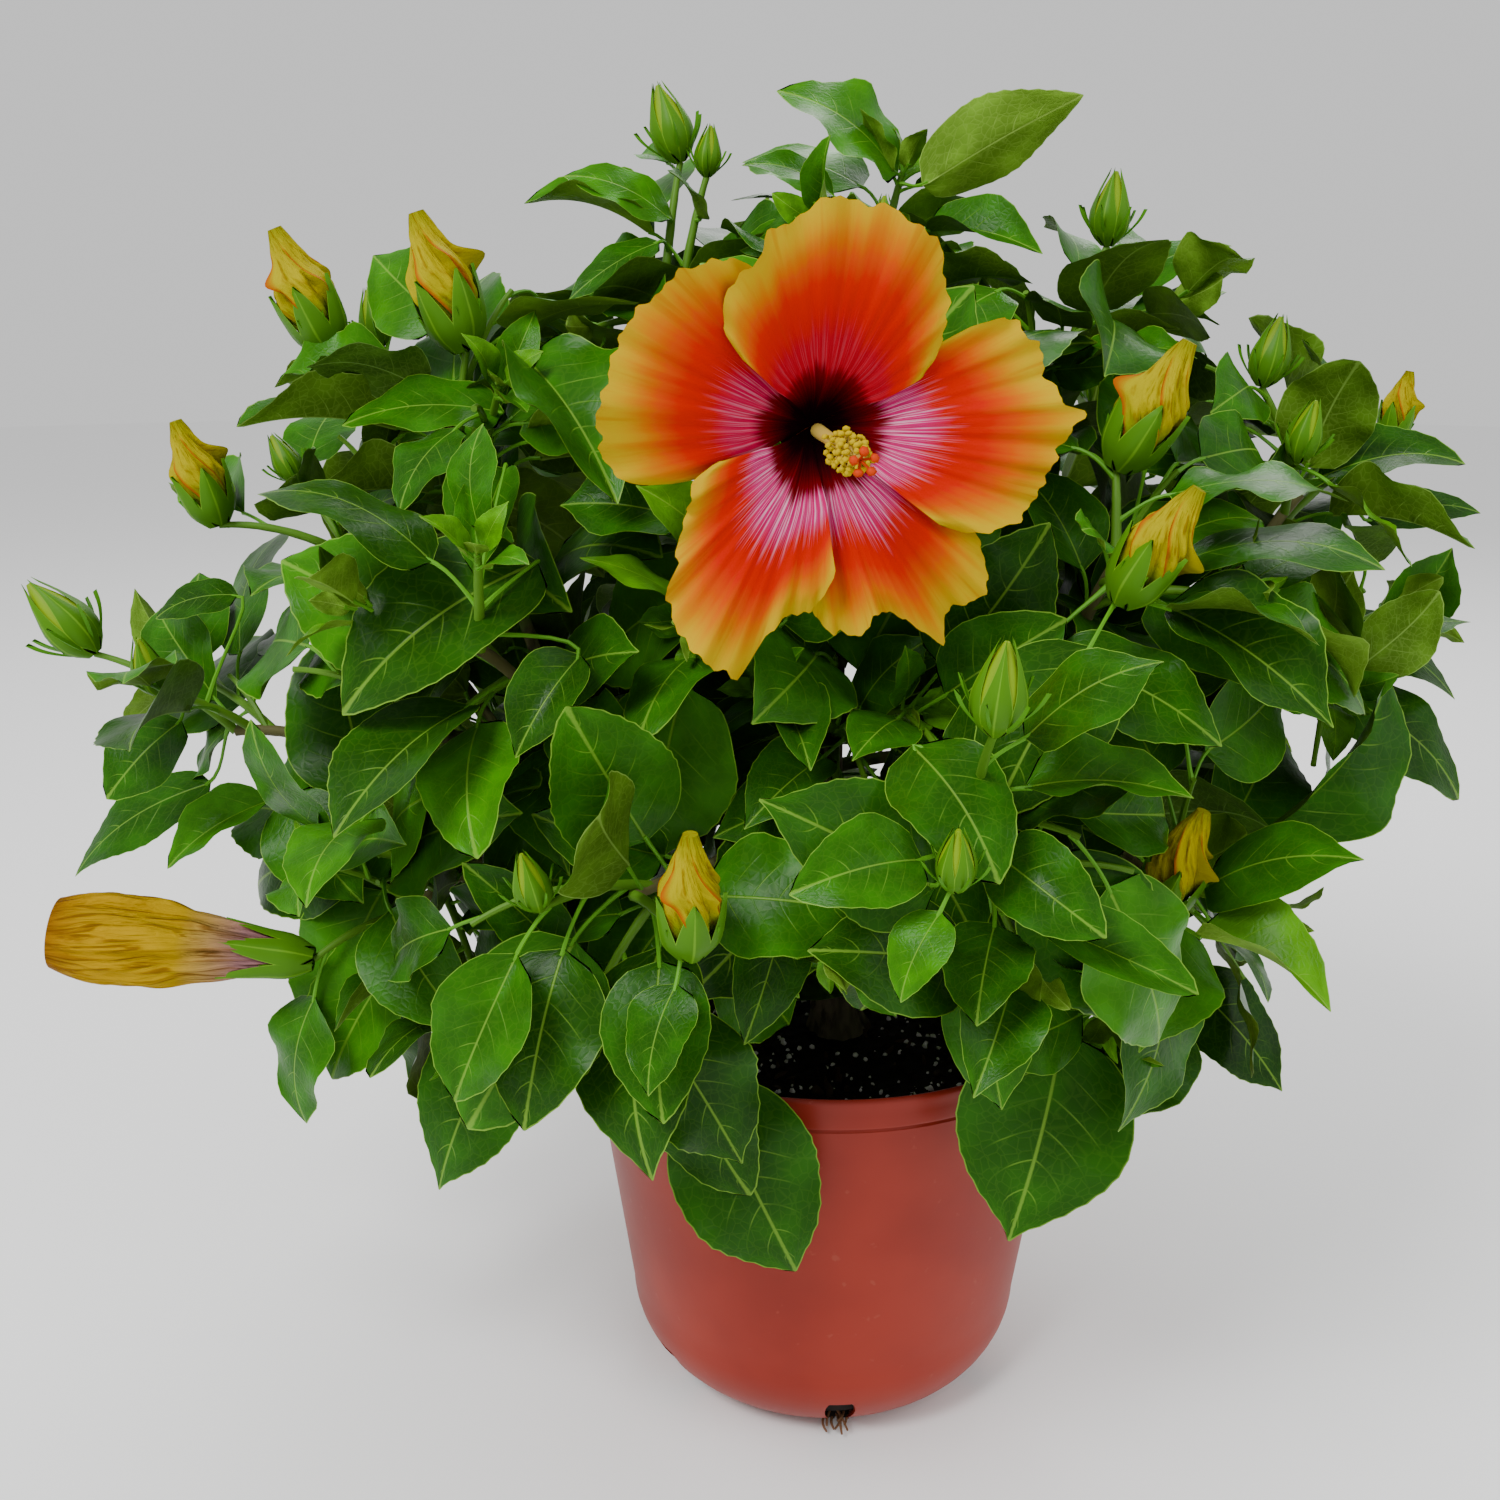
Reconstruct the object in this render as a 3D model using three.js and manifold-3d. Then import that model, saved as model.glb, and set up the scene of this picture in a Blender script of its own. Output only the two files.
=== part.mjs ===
// A potted hibiscus shrub: a round nursery pot filled with soil, a short flared trunk that forks
// into five stems, boughs that branch from the stems, and at the end of each bough a mass of
// twigs, leaves, buds and blossom. Millimetres, +Z up. The origin is the middle of the pot's flat
// underside and the plant's front faces -Y.
import * as THREE from "three";
import { mergeVertices } from "three/addons/utils/BufferGeometryUtils.js";
import Module from "manifold-3d";

const wasm = await Module();
wasm.setup();

// ---- driving dimensions ----------------------------------------------------------------------

const GAP = 0.35;
const SHORTEST_EDGE = 0.04;

const POT_HEIGHT = 179;
const RIM_RADIUS = 107.5;
const BASE_RADIUS = 82.5;
const CORNER_RADIUS = 40;
const WALL = 2.4;
const BAND_DEPTH = 12.5;
const BAND_STEP = 1.6;
const POT_SIDES = 28;
const DRAIN_HOLES = 6;
const DRAIN_WIDTH = 13;
const DRAIN_HEIGHT = 9;
const DRAIN_FIRST = -84;

const SOIL_TOP = 158;
const FORK = [0, 4, 206];
const TRUNK_FOOT = [5, 7];
const TRUNK_RADIUS = 8.5;
const ROOT_FLARE = 6;
const FORK_SWELL = 1.5;

const STEM_SIDES = 6;
const BOUGH_SIDES = 4;
const TWIG_SIDES = 3;
const BOUGH_RADIUS = 3.1;
const BOUGH_TIP = 2.3;
const BOUGH_REACH = 0.72;
const TWIG_RADIUS = 2.3;
const SHOOT_RADIUS = 2.0;
const SHOOT_TIP = 1.4;
const STALK_RADIUS = 0.75;
const TWIG_JOINTS = 2;
const SHOOT_STEP = 0.3;

const LEAF_LENGTH = 84;
const LEAF_WIDTH = 0.62;
const LEAF_THICK = 1.6;
const LEAF_SPACING = 20;
const LEAF_ARCH = 0.09;
const LEAF_APART = 0.045;
const STALK_SHARE = 0.34;
const LONGEST_STALK = 66;
const GOLDEN_ANGLE = 137.508;

const CELL_MARGIN = 0.5;
const LIMB_MARGIN = 6.5;
const TWIG_MARGIN = 3.5;
const ROOM = 55;
const BLOOM_ROOM = 72;
const TOP_ROOM = 80;
const CROWN_CENTRE = [-18, 10, 300];
const CROWN_REACH = [288, 236, 240];
// The side that the outline leaves turn their faces to.
const LIGHT = [0, -0.9, 1];
// Over the front of the soil the crown is open: between these places along X no leaf is in the wedge
// that opens forwards from the soil's middle, between the slopes towards its far side and the rim.
const OPEN_X = [-12, 34];
const OPEN_BACK = 7;
const OPEN_SLOPES = [0.54, 0.477];
// Under its right side the crown is cut in: at this height it reaches this far, and more above.
const UNDERCUT = [232, 172, 0.9];

const BLOOM_CENTRE = [0, -150, 431];
const BLOOM_FACING = [0.26, -0.96, -0.09];
// Petals: turn about the throat, length and width.
const PETALS = [[85, 71, 70], [169, 70, 70], [247, 78, 62], [305, 76, 64], [3, 80, 68]];
const PETAL_THICK = 2;
const COLUMN_LENGTH = 46;

// Stems: name, tip, radius at the fork, radius at the tip, rise of the arch.
const STEMS = [
  ["left", [-150, -25, 296], 4.6, 3.0, 0.16],
  ["right", [140, 0, 300], 4.6, 3.0, 0.16],
  ["front", [8, -98, 300], 4.2, 2.9, 0.18],
  ["back", [-6, 110, 312], 4.4, 2.9, 0.16],
  ["upright", [4, 0, 400], 4.8, 2.9, 0.0],
];

// Masses: name, stem, where the bough leaves the stem (0 fork, 1 tip), hub, then the shoots
// as [kind, base of the bud or tip of the shoot, tip of the bud].
const MASSES = [
  ["left_low", "left", 1.0, [-246, -30, 301], [
    ["green", [-302, -30, 333], [-325, -35, 364]],
    ["green", [-268, -52, 322], [-272, -56, 346]],
    ["leafy", [-285, 10, 315]],
  ]],
  ["left_mid", "left", 0.9, [-201, -10, 372], [
    ["yellow", [-249, -20, 385], [-261, -25, 427]],
    ["green", [-222, 0, 400], [-232, 0, 420]],
    ["leafy", [-176, 20, 405]],
  ]],
  ["left_upper", "left", 0.72, [-146, -50, 427], [
    ["yellow", [-193, -34, 454], [-210, -40, 499]],
    ["yellow", [-137, -52, 455], [-152, -56, 504]],
    ["green", [-182, -6, 455], [-186, -6, 478]],
    ["leafy", [-118, -86, 444]],
  ]],
  ["left_drooping", "left", 0.62, [-166, -76, 240], [
    ["spent", [-197, -98, 229], [-291, -110, 243]],
    ["leafy", [-176, -50, 222]],
    ["leafy", [-130, -104, 214]],
    ["leafy", [-186, -86, 268]],
  ]],
  ["centre_left", "left", 0.5, [-118, -136, 360], [
    ["leafy", [-112, -160, 396]],
    ["leafy", [-160, -130, 372]],
    ["green", [-160, -128, 300], [-164, -132, 318]],
  ]],
  ["front_left", "front", 0.5, [-66, -150, 278], [
    ["yellow", [-43, -192, 274], [-42, -198, 317]],
    ["green", [-93, -180, 284], [-97, -186, 306]],
    ["leafy", [-84, -150, 232]],
    ["leafy", [-54, -126, 204]],
  ]],
  ["front_right", "front", 1.0, [46, -160, 306], [
    ["green", [48, -206, 352], [50, -212, 382]],
    ["green", [38, -208, 304], [38, -214, 326]],
    ["leafy", [66, -162, 262]],
    ["leafy", [6, -170, 272]],
  ]],
  ["bloom_spray", "upright", 0.62, [-5, -96, 392], [
    ["open", [0, -122, 428], [10, -190, 425]],
    ["leafy", [-44, -118, 366]],
  ]],
  ["right_front", "right", 0.5, [98, -104, 386], [
    ["yellow", [98, -92, 417], [119, -98, 460]],
    ["yellow", [94, -136, 378], [116, -142, 416]],
    ["leafy", [134, -110, 376]],
  ]],
  ["right_low", "right", 0.62, [136, -64, 246], [
    ["yellow", [116, -118, 261], [130, -124, 303]],
    ["leafy", [178, -47, 234]],
    ["leafy", [106, -102, 215]],
  ]],
  ["right_mid", "right", 1.0, [198, 10, 322], [
    ["leafy", [236, 26, 346]],
    ["leafy", [196, -44, 326]],
    ["leafy", [192, 44, 292]],
  ]],
  ["right_upper", "right", 0.86, [188, 0, 398], [
    ["green", [169, 0, 440], [174, -2, 468]],
    ["green", [176, -34, 414], [180, -38, 438]],
    ["green", [209, 20, 416], [214, 20, 436]],
    ["yellow", [230, 26, 416], [235, 26, 445]],
  ]],
  ["top_right", "upright", 0.82, [97, 26, 455], [
    ["green", [110, 30, 494], [112, 30, 524]],
    ["leafy", [136, 20, 470]],
    ["leafy", [78, -20, 446]],
  ]],
  ["top", "upright", 1.0, [18, 18, 486], [
    ["leafy", [26, 20, 522]],
    ["leafy", [-6, -16, 500]],
  ]],
  ["top_left", "upright", 0.9, [-69, 10, 478], [
    ["green", [-63, 20, 526], [-72, 20, 556]],
    ["green", [-52, 14, 520], [-50, 14, 540]],
    ["leafy", [-96, -16, 462]],
  ]],
  ["middle", "upright", 0.3, [2, -64, 314], [
    ["leafy", [-24, -92, 336]],
    ["leafy", [30, -96, 330]],
    ["leafy", [4, -92, 262]],
  ]],
  ["back_top", "upright", 0.74, [6, 104, 448], [
    ["green", [20, 124, 494], [22, 126, 520]],
    ["leafy", [-40, 120, 478]],
    ["leafy", [54, 116, 470]],
  ]],
  ["back_left", "back", 0.86, [-132, 118, 372], [
    ["yellow", [-172, 150, 404], [-196, 166, 446]],
    ["green", [-132, 140, 428], [-134, 142, 452]],
    ["leafy", [-204, 100, 366]],
  ]],
  ["back_right", "back", 0.8, [126, 124, 366], [
    ["yellow", [160, 160, 392], [182, 180, 432]],
    ["green", [124, 130, 424], [126, 132, 448]],
    ["leafy", [206, 98, 362]],
  ]],
  ["back_middle", "back", 1.0, [-4, 176, 344], [
    ["green", [-16, 214, 378], [-18, 224, 402]],
    ["leafy", [46, 212, 352]],
    ["leafy", [-62, 202, 340]],
  ]],
  ["back_low_left", "back", 0.5, [-128, 112, 254], [
    ["leafy", [-196, 112, 262]],
    ["leafy", [-136, 168, 244]],
    ["green", [-170, 50, 236], [-192, 52, 246]],
  ]],
  ["back_low_right", "back", 0.42, [132, 104, 248], [
    ["leafy", [160, 104, 262]],
    ["leafy", [130, 164, 240]],
    ["leafy", [150, 52, 234]],
  ]],
];

// Leaves that carry the crown's outline and its front: base and tip of the blade, width to length.
const OUTLINE_LEAVES = [
  [[-262, -22, 276], [-321, -32, 236], 0.42],
  [[-218, -72, 285], [-258, -82, 259], 0.5],
  [[-258, -55, 312], [-284, -72, 284], 0.8],
  [[-213, -72, 286], [-178, -92, 250], 0.62],
  [[-228, -20, 366], [-277, -24, 352], 0.5],
  [[-202, -34, 356], [-238, -48, 318], 0.6],
  [[-204, 2, 370], [-165, -32, 400], 0.52],
  [[-166, -45, 448], [-213, -45, 441], 0.6],
  [[-120, -70, 434], [-176, -84, 430], 0.5],
  [[-104, -100, 437], [-112, -128, 398], 0.75],
  [[-160, -84, 236], [-195, -94, 176], 0.6],
  [[-179, -65, 245], [-202, -69, 171], 0.62],
  [[-122, -92, 206], [-152, -104, 134], 0.55],
  [[-101, -117, 387], [-164, -145, 339], 0.62],
  [[-72, -140, 366], [-100, -166, 322], 0.6],
  [[-104, -140, 340], [-86, -170, 282], 0.5],
  [[-79, -132, 226], [-40, -140, 180], 0.55],
  [[-60, -120, 214], [-27, -128, 150], 0.5],
  [[-45, -111, 186], [-10, -116, 110], 0.6],
  [[-98, -136, 246], [-142, -154, 300], 0.55],
  [[4, -134, 278], [-14, -152, 216], 0.42],
  [[46, -165, 262], [-6, -190, 276], 0.62],
  [[47, -156, 260], [60, -168, 210], 0.58],
  [[30, -170, 290], [-26, -192, 326], 0.6],
  [[64, -175, 283], [118, -186, 262], 0.4],
  [[26, -170, 338], [52, -202, 304], 0.62],
  [[-22, -128, 370], [22, -164, 352], 0.5],
  [[-58, -104, 400], [-104, -96, 404], 0.7],
  [[75, -115, 356], [131, -137, 330], 0.5],
  [[84, -124, 392], [70, -150, 402], 0.8],
  [[112, -96, 372], [152, -120, 344], 0.6],
  [[89, -104, 209], [71, -119, 128], 0.7],
  [[132, -84, 210], [104, -100, 172], 0.8],
  [[146, -44, 206], [188, -54, 160], 0.55],
  [[134, -88, 244], [178, -66, 272], 0.62],
  [[196, 20, 341], [263, 10, 311], 0.42],
  [[206, 4, 316], [266, 0, 270], 0.5],
  [[240, 30, 336], [262, 30, 372], 0.75],
  [[194, 0, 404], [248, -10, 411], 0.55],
  [[222, 20, 384], [268, 20, 388], 0.4],
  [[176, -20, 392], [150, -60, 398], 0.55],
  [[114, 30, 474], [160, 30, 494], 0.42],
  [[118, 20, 462], [158, 24, 476], 0.4],
  [[104, 10, 458], [58, 0, 486], 0.5],
  [[24, 18, 521], [-24, 8, 551], 0.78],
  [[33, 2, 516], [93, 0, 548], 0.46, [0, 0.9, 0.5]],
  [[35, 8, 500], [79, -12, 490], 0.5],
  [[20, 0, 500], [8, -30, 508], 0.8],
  [[-1, 2, 512], [-37, -4, 523], 0.5],
  [[-66, 10, 504], [-108, 6, 520], 0.5],
  [[-50, 4, 500], [-66, -22, 524], 0.7],
  [[-62, 0, 500], [-112, -16, 468], 0.42],
  [[-40, 4, 498], [-14, -30, 482], 0.6],
];

const COLOURS = {
  pot: [0x9c3a28, 0.42],
  soil: [0x1f1813, 0.95],
  bark: [0x6f6048, 0.85],
  foliage: [0x2f7a22, 0.5],
};

// ---- vectors, chance and curves --------------------------------------------------------------

const vec = (a) => new THREE.Vector3(a[0], a[1], a[2]);
const UP = vec([0, 0, 1]);
const degrees = (a) => (a * Math.PI) / 180;

// A steady chance between 0 and 1 that depends only on the whole numbers it is given.
function chance(...keys) {
  let h = 20783;
  for (const key of keys) {
    h = Math.imul(h ^ (key + 40503), 0x85ebca6b);
    h ^= h >>> 13;
    h = Math.imul(h, 0xc2b2ae35);
    h ^= h >>> 16;
  }
  return (h >>> 0) / 4294967296;
}

// A limb's centre line: it leaves its foot steeply and flattens, raised by a share of its length.
function arch(from, to, lift) {
  const rise = UP.clone().multiplyScalar(from.distanceTo(to) * lift);
  const second = from.clone().lerp(to, 1 / 3).add(rise);
  const third = from.clone().lerp(to, 2 / 3).add(rise);
  return new THREE.CubicBezierCurve3(from, second, third, to);
}

// A twig's centre line: straight between a few joints that lie on an arch.
class Jointed extends THREE.Curve {
  constructor(curve, joints) {
    super();
    this.points = [];
    for (let k = 0; k <= joints; k++) {
      this.points.push(curve.getPoint(k / joints));
    }
  }

  getPoint(t) {
    const last = this.points.length - 1;
    const k = Math.min(Math.floor(t * last), last - 1);
    return this.points[k].clone().lerp(this.points[k + 1], t * last - k);
  }
}

// ---- solids ------------------------------------------------------------------------------------

// A closed geometry as a solid for joining and cutting.
function solid(geometry) {
  const bare = geometry.clone();
  bare.deleteAttribute("normal");
  bare.deleteAttribute("uv");
  const welded = mergeVertices(bare, 1e-4);
  const vertProperties = new Float32Array(welded.attributes.position.array);
  const triVerts = new Uint32Array(welded.index.array);
  return new wasm.Manifold(new wasm.Mesh({ numProp: 3, vertProperties, triVerts }));
}

// The solid's outermost body: loose scraps are dropped, sealed hollows are filled, and edges too
// short to make are closed up.
function wholeBody(body) {
  const shells = body.simplify(SHORTEST_EDGE).decompose();
  shells.sort((a, b) => b.volume() - a.volume());
  return shells[0];
}

function geometryOf(body) {
  const mesh = body.getMesh();
  const geometry = new THREE.BufferGeometry();
  geometry.setAttribute("position", new THREE.BufferAttribute(mesh.vertProperties, 3));
  geometry.setIndex(new THREE.BufferAttribute(mesh.triVerts, 1));
  geometry.computeVertexNormals();
  return geometry;
}

// A tapering round rod bent along a curve; radius is a function of the share of the length.
function rod(curve, radius, sides, steps) {
  const geometry = new THREE.CylinderGeometry(1, 1, 1, sides, steps);
  const place = geometry.attributes.position;
  const frames = [];
  let side = new THREE.Vector3();
  for (let k = 0; k <= steps; k++) {
    const along = curve.getTangent(k / steps);
    if (k === 0) {
      side.crossVectors(along, Math.abs(along.z) < 0.9 ? UP : vec([1, 0, 0]));
    }
    side = side.clone().addScaledVector(along, -side.dot(along)).normalize();
    frames.push([curve.getPoint(k / steps), side, new THREE.Vector3().crossVectors(along, side)]);
  }
  for (let i = 0; i < place.count; i++) {
    const share = place.getY(i) + 0.5;
    const [centre, first, second] = frames[Math.round(share * steps)];
    const size = radius(share);
    const point = centre.clone();
    point.addScaledVector(first, place.getX(i) * size);
    point.addScaledVector(second, -place.getZ(i) * size);
    place.setXYZ(i, point.x, point.y, point.z);
  }
  return geometry;
}

const taper = (r0, r1) => (t) => r0 + (r1 - r0) * t;

// A thin closed blade: a flattened ball whose rim follows an outline. Its middle surface is
// shape(s, y), where s runs from the base to the tip and y across, and thickness is the height
// at the middle, falling to nothing at the rim.
function blade(rimPoints, rings, outline, thickness, shape) {
  const geometry = new THREE.SphereGeometry(1, rimPoints, rings);
  geometry.rotateX(Math.PI / 2);
  const place = geometry.attributes.position;
  for (let i = 0; i < place.count; i++) {
    const x = place.getX(i);
    const y = place.getY(i);
    const spread = Math.hypot(x, y);
    const turn = Math.round((Math.atan2(y, x) / (2 * Math.PI)) * rimPoints);
    const [s, across] = outline(((turn % rimPoints) + rimPoints) % rimPoints, spread);
    const point = shape(s, across, (place.getZ(i) * thickness) / 2);
    place.setXYZ(i, point.x, point.y, point.z);
  }
  return geometry;
}

// ---- leaves ------------------------------------------------------------------------------------

// Cross-sections of a leaf from its tip to the foot of its stalk: how far along the blade, half
// the width as a share of the whole width, and how deep the midrib stands below the blade.
const LEAF_SECTIONS = [[1, 0, 0], [0.66, 0.42, 0.8], [0.18, 0.44, 0.8], [0, 0, 0]];
const LEAF_RIM = [[1, 0], [0.7, 0.38], [0.27, 0.5], [0, 0], [0.27, -0.5], [0.7, -0.38]];

// A leaf: foot of its stalk on the twig, base and tip of its blade, width, and the way it faces.
function makeLeaf(foot, base, tip, ratio, facing) {
  const axis = tip.clone().sub(base);
  const length = axis.length();
  axis.normalize();
  const normal = facing.clone().addScaledVector(axis, -facing.dot(axis)).normalize();
  const across = new THREE.Vector3().crossVectors(normal, axis);
  return { foot, base, tip, axis, normal, across, length, width: length * ratio };
}

// A point of a leaf's blade, raised at the middle of its length.
function onLeaf(leaf, s, y, raise) {
  const height = 4 * s * (1 - s) * LEAF_ARCH * leaf.length;
  const point = leaf.base.clone();
  point.addScaledVector(leaf.axis, s * leaf.length);
  point.addScaledVector(leaf.across, y * leaf.width);
  point.addScaledVector(leaf.normal, height + raise);
  return point;
}

// Points spread over a blade in rows of five from its base to its tip.
function spreadPoints(leaf) {
  const points = [];
  for (let i = 0; i <= 8; i++) {
    const half = 0.5 * Math.sin(Math.PI * Math.pow(i / 8, 0.8));
    for (const y of [-half, -half / 2, 0, half / 2, half]) {
      points.push(onLeaf(leaf, i / 8, y, 0));
    }
  }
  return points;
}

// The leaf and its stalk as one closed body: a three-sided cone whose rings become sections of
// the blade, with the midrib as the edge below, and last the foot of the stalk.
function leafSolid(leaf) {
  const geometry = new THREE.ConeGeometry(1, 1, 3, 3);
  const place = geometry.attributes.position;
  const along = leaf.base.clone().sub(leaf.foot).normalize();
  const up = leaf.normal.clone().addScaledVector(along, -leaf.normal.dot(along)).normalize();
  const side = new THREE.Vector3().crossVectors(up, along);
  for (let i = 0; i < place.count; i++) {
    const ring = Math.round((0.5 - place.getY(i)) * 3);
    const spread = ring === 0 ? 0 : 3 / ring;
    const x = place.getX(i) * spread;
    const z = place.getZ(i) * spread;
    const middle = Math.hypot(x, z) < 0.1;
    const below = !middle && Math.abs(x) < 0.1;
    const [s, half, depth] = LEAF_SECTIONS[ring];
    const point = leaf.foot.clone();
    if (ring < 3) {
      const y = below || middle ? 0 : Math.sign(x) * half;
      point.copy(onLeaf(leaf, s, y, below ? -depth * LEAF_THICK : 0));
    } else if (!middle) {
      point.addScaledVector(side, x * STALK_RADIUS);
      point.addScaledVector(up, -z * STALK_RADIUS);
    }
    place.setXYZ(i, point.x, point.y, point.z);
  }
  return geometry;
}

// ---- where a leaf may be ------------------------------------------------------------------------

const hubs = MASSES.map((row) => vec(row[3]));

// A mass's space is centred on the middle of its named points.
const hearts = MASSES.map(([, , , hub, shoots]) => {
  const named = [hub, ...shoots.flatMap((row) => row.slice(1))];
  const middle = new THREE.Vector3();
  named.forEach((point) => middle.addScaledVector(vec(point), 1 / named.length));
  return middle;
});
const rooms = MASSES.map(([name, , , , shoots]) => {
  if (shoots[0][0] === "open") return BLOOM_ROOM;
  return name === "top" ? TOP_ROOM : ROOM;
});

// How far inside its mass's own space a point is: the space is bounded, towards every other mass,
// by the plane where the distances to the two hearts balance once each heart's room is allowed.
function depthInSpace(m, point) {
  let depth = Infinity;
  for (let j = 0; j < hearts.length; j++) {
    if (j !== m) {
      const apart = hearts[j].distanceTo(hearts[m]);
      const near = point.distanceToSquared(hearts[m]) - rooms[m] ** 2;
      const far = point.distanceToSquared(hearts[j]) - rooms[j] ** 2;
      depth = Math.min(depth, (far - near) / (2 * apart));
    }
  }
  return depth;
}

// A limb's centre line as straight pieces, each [from, to, radius].
function piecesOf(curve, radius, steps) {
  const pieces = [];
  for (let k = 0; k < steps; k++) {
    pieces.push([curve.getPoint(k / steps), curve.getPoint((k + 1) / steps), radius(k / steps)]);
  }
  return pieces;
}

const limbPieces = [];

function distanceTo(pieces, point) {
  let least = Infinity;
  for (const [from, to, radius] of pieces) {
    const line = to.clone().sub(from);
    const share = point.clone().sub(from).dot(line) / line.lengthSq();
    const nearest = from.clone().addScaledVector(line, Math.min(1, Math.max(0, share)));
    least = Math.min(least, nearest.distanceTo(point) - radius);
  }
  return least;
}

// Whether a point is inside the rounded outline that the crown keeps to.
function inCrown(point) {
  if (point.x > UNDERCUT[1] + Math.max(0, point.z - UNDERCUT[0]) * UNDERCUT[2]) return false;
  const from = point.clone().sub(vec(CROWN_CENTRE)).divide(vec(CROWN_REACH));
  return from.length() < 1;
}

// Whether a point leaves the open blossom's face free.
function clearOfBloom(point) {
  const facing = vec(BLOOM_FACING).normalize();
  const from = point.clone().sub(vec(BLOOM_CENTRE));
  const front = from.dot(facing);
  return front < -24 || from.addScaledVector(facing, -front).length() > 84;
}

// Whether a point is clear of the pot, of the soil in it and of the ground.
function clearOfPot(point) {
  const { x, y, z } = point;
  const over = z > POT_HEIGHT - (RIM_RADIUS + y) * OPEN_SLOPES[0];
  const under = z < SOIL_TOP + (OPEN_BACK - y) * OPEN_SLOPES[1];
  if (x > OPEN_X[0] && x < OPEN_X[1] && y < OPEN_BACK && over && under) return false;
  return z > POT_HEIGHT + 3 || (z > 6 && Math.hypot(x, y) > RIM_RADIUS + 2.5);
}

// Whether a leaf keeps to its mass's space and is clear of limbs, pot and blossom, of the mass's
// own twigs and buds, and of the leaves that are there already.
function leafFits(m, leaf, others, twigs) {
  for (const raise of [-LEAF_THICK, 0]) {
    for (const [s, y] of LEAF_RIM) {
      if (depthInSpace(m, onLeaf(leaf, s, y, raise)) < CELL_MARGIN) return false;
    }
  }
  leaf.points = spreadPoints(leaf);
  for (let i = 0; i < leaf.points.length; i++) {
    const point = leaf.points[i];
    if (!clearOfPot(point) || !clearOfBloom(point)) return false;
    if (distanceTo(limbPieces, point) < LIMB_MARGIN) return false;
    if (i > 9 && distanceTo(twigs, point) < TWIG_MARGIN) return false;
  }
  for (const share of [0.35, 0.7]) {
    const point = leaf.foot.clone().lerp(leaf.base, share);
    if (distanceTo(limbPieces, point) < 1.6 || depthInSpace(m, point) < 1.4) return false;
  }
  const stalk = [0.5, 0.8].map((share) => leaf.foot.clone().lerp(leaf.base, share));
  for (const other of others) {
    const apart = LEAF_APART * (leaf.length + other.length);
    const middle = onLeaf(leaf, 0.5, 0, 0).distanceTo(onLeaf(other, 0.5, 0, 0));
    if (middle > 0.6 * (leaf.length + other.length) + apart) continue;
    for (const there of other.points) {
      for (const here of leaf.points) {
        if (here.distanceTo(there) < apart) return false;
      }
      for (const here of stalk) {
        if (here.distanceTo(there) < apart) return false;
      }
    }
  }
  return true;
}

// ---- growing a mass -----------------------------------------------------------------------------

// Leaves grow round a twig by the golden angle, longest at its foot. A leaf that would leave the
// mass's space or come too near a limb is turned about the twig, then made smaller, else left out.
function growLeaves(m, t, curve, kind, leaves, twigs) {
  const length = curve.getLength();
  const count = Math.max(2, Math.round(length / LEAF_SPACING));
  const roll = chance(m, t, 1) * 360;
  for (let k = 0; k < count; k++) {
    const place = (k + 0.75) / count;
    const age = kind === "main" ? 0.1 : place;
    const foot = curve.getPoint(Math.min(place, 1));
    const along = curve.getTangent(Math.min(place, 1));
    const first = new THREE.Vector3().crossVectors(along, Math.abs(along.z) < 0.9 ? UP : vec([1, 0, 0]));
    first.normalize();
    const second = new THREE.Vector3().crossVectors(first, along);
    const outward = foot.clone().sub(vec(CROWN_CENTRE)).normalize();
    const size = LEAF_LENGTH * (1 - 0.5 * age * age) * (0.82 + 0.3 * chance(m, t, k, 2));
    const lean = 0.15 + 0.35 * chance(m, t, k, 3);
    const droop = 0.1 + 0.5 * chance(m, t, k, 4) * (1 - 0.6 * age);
    const tilt = degrees(56 * (chance(m, t, k, 5) - 0.5));
    search: for (const share of [1, 0.8, 0.62]) {
      for (const turn of [0, 40, -40, 80, -80, 120, -120, 180]) {
        const around = degrees(roll + k * GOLDEN_ANGLE + turn);
        const away = first.clone().multiplyScalar(Math.cos(around));
        away.addScaledVector(second, Math.sin(around));
        const stalk = away.clone().addScaledVector(along, 0.5).addScaledVector(outward, 0.4);
        stalk.normalize();
        const axis = away.clone().addScaledVector(along, 0.25).addScaledVector(outward, lean);
        axis.addScaledVector(UP, -droop).normalize();
        const blank = size * share;
        const base = foot.clone().addScaledVector(stalk, blank * STALK_SHARE);
        const tip = base.clone().addScaledVector(axis, blank);
        const facing = UP.clone().addScaledVector(outward, 1.1);
        facing.applyAxisAngle(axis, tilt);
        const leaf = makeLeaf(foot, base, tip, LEAF_WIDTH, facing);
        if (inCrown(tip) && leafFits(m, leaf, leaves, twigs)) {
          leaf.age = age;
          leaves.push(leaf);
          twigs.push([leaf.foot.clone().lerp(leaf.base, 0.4), leaf.base, STALK_RADIUS]);
          break search;
        }
      }
    }
  }
}

// The nearest point of a mass's twigs to a blade's base, kept on the side towards the heart.
function nearestFoot(curves, base) {
  let best = null;
  for (const curve of curves) {
    for (let k = 1; k <= 19; k++) {
      const point = curve.getPoint(k / 20);
      const worth = point.distanceTo(base);
      if (!best || worth < best.worth) best = { worth, point };
    }
  }
  return best.point;
}

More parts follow.
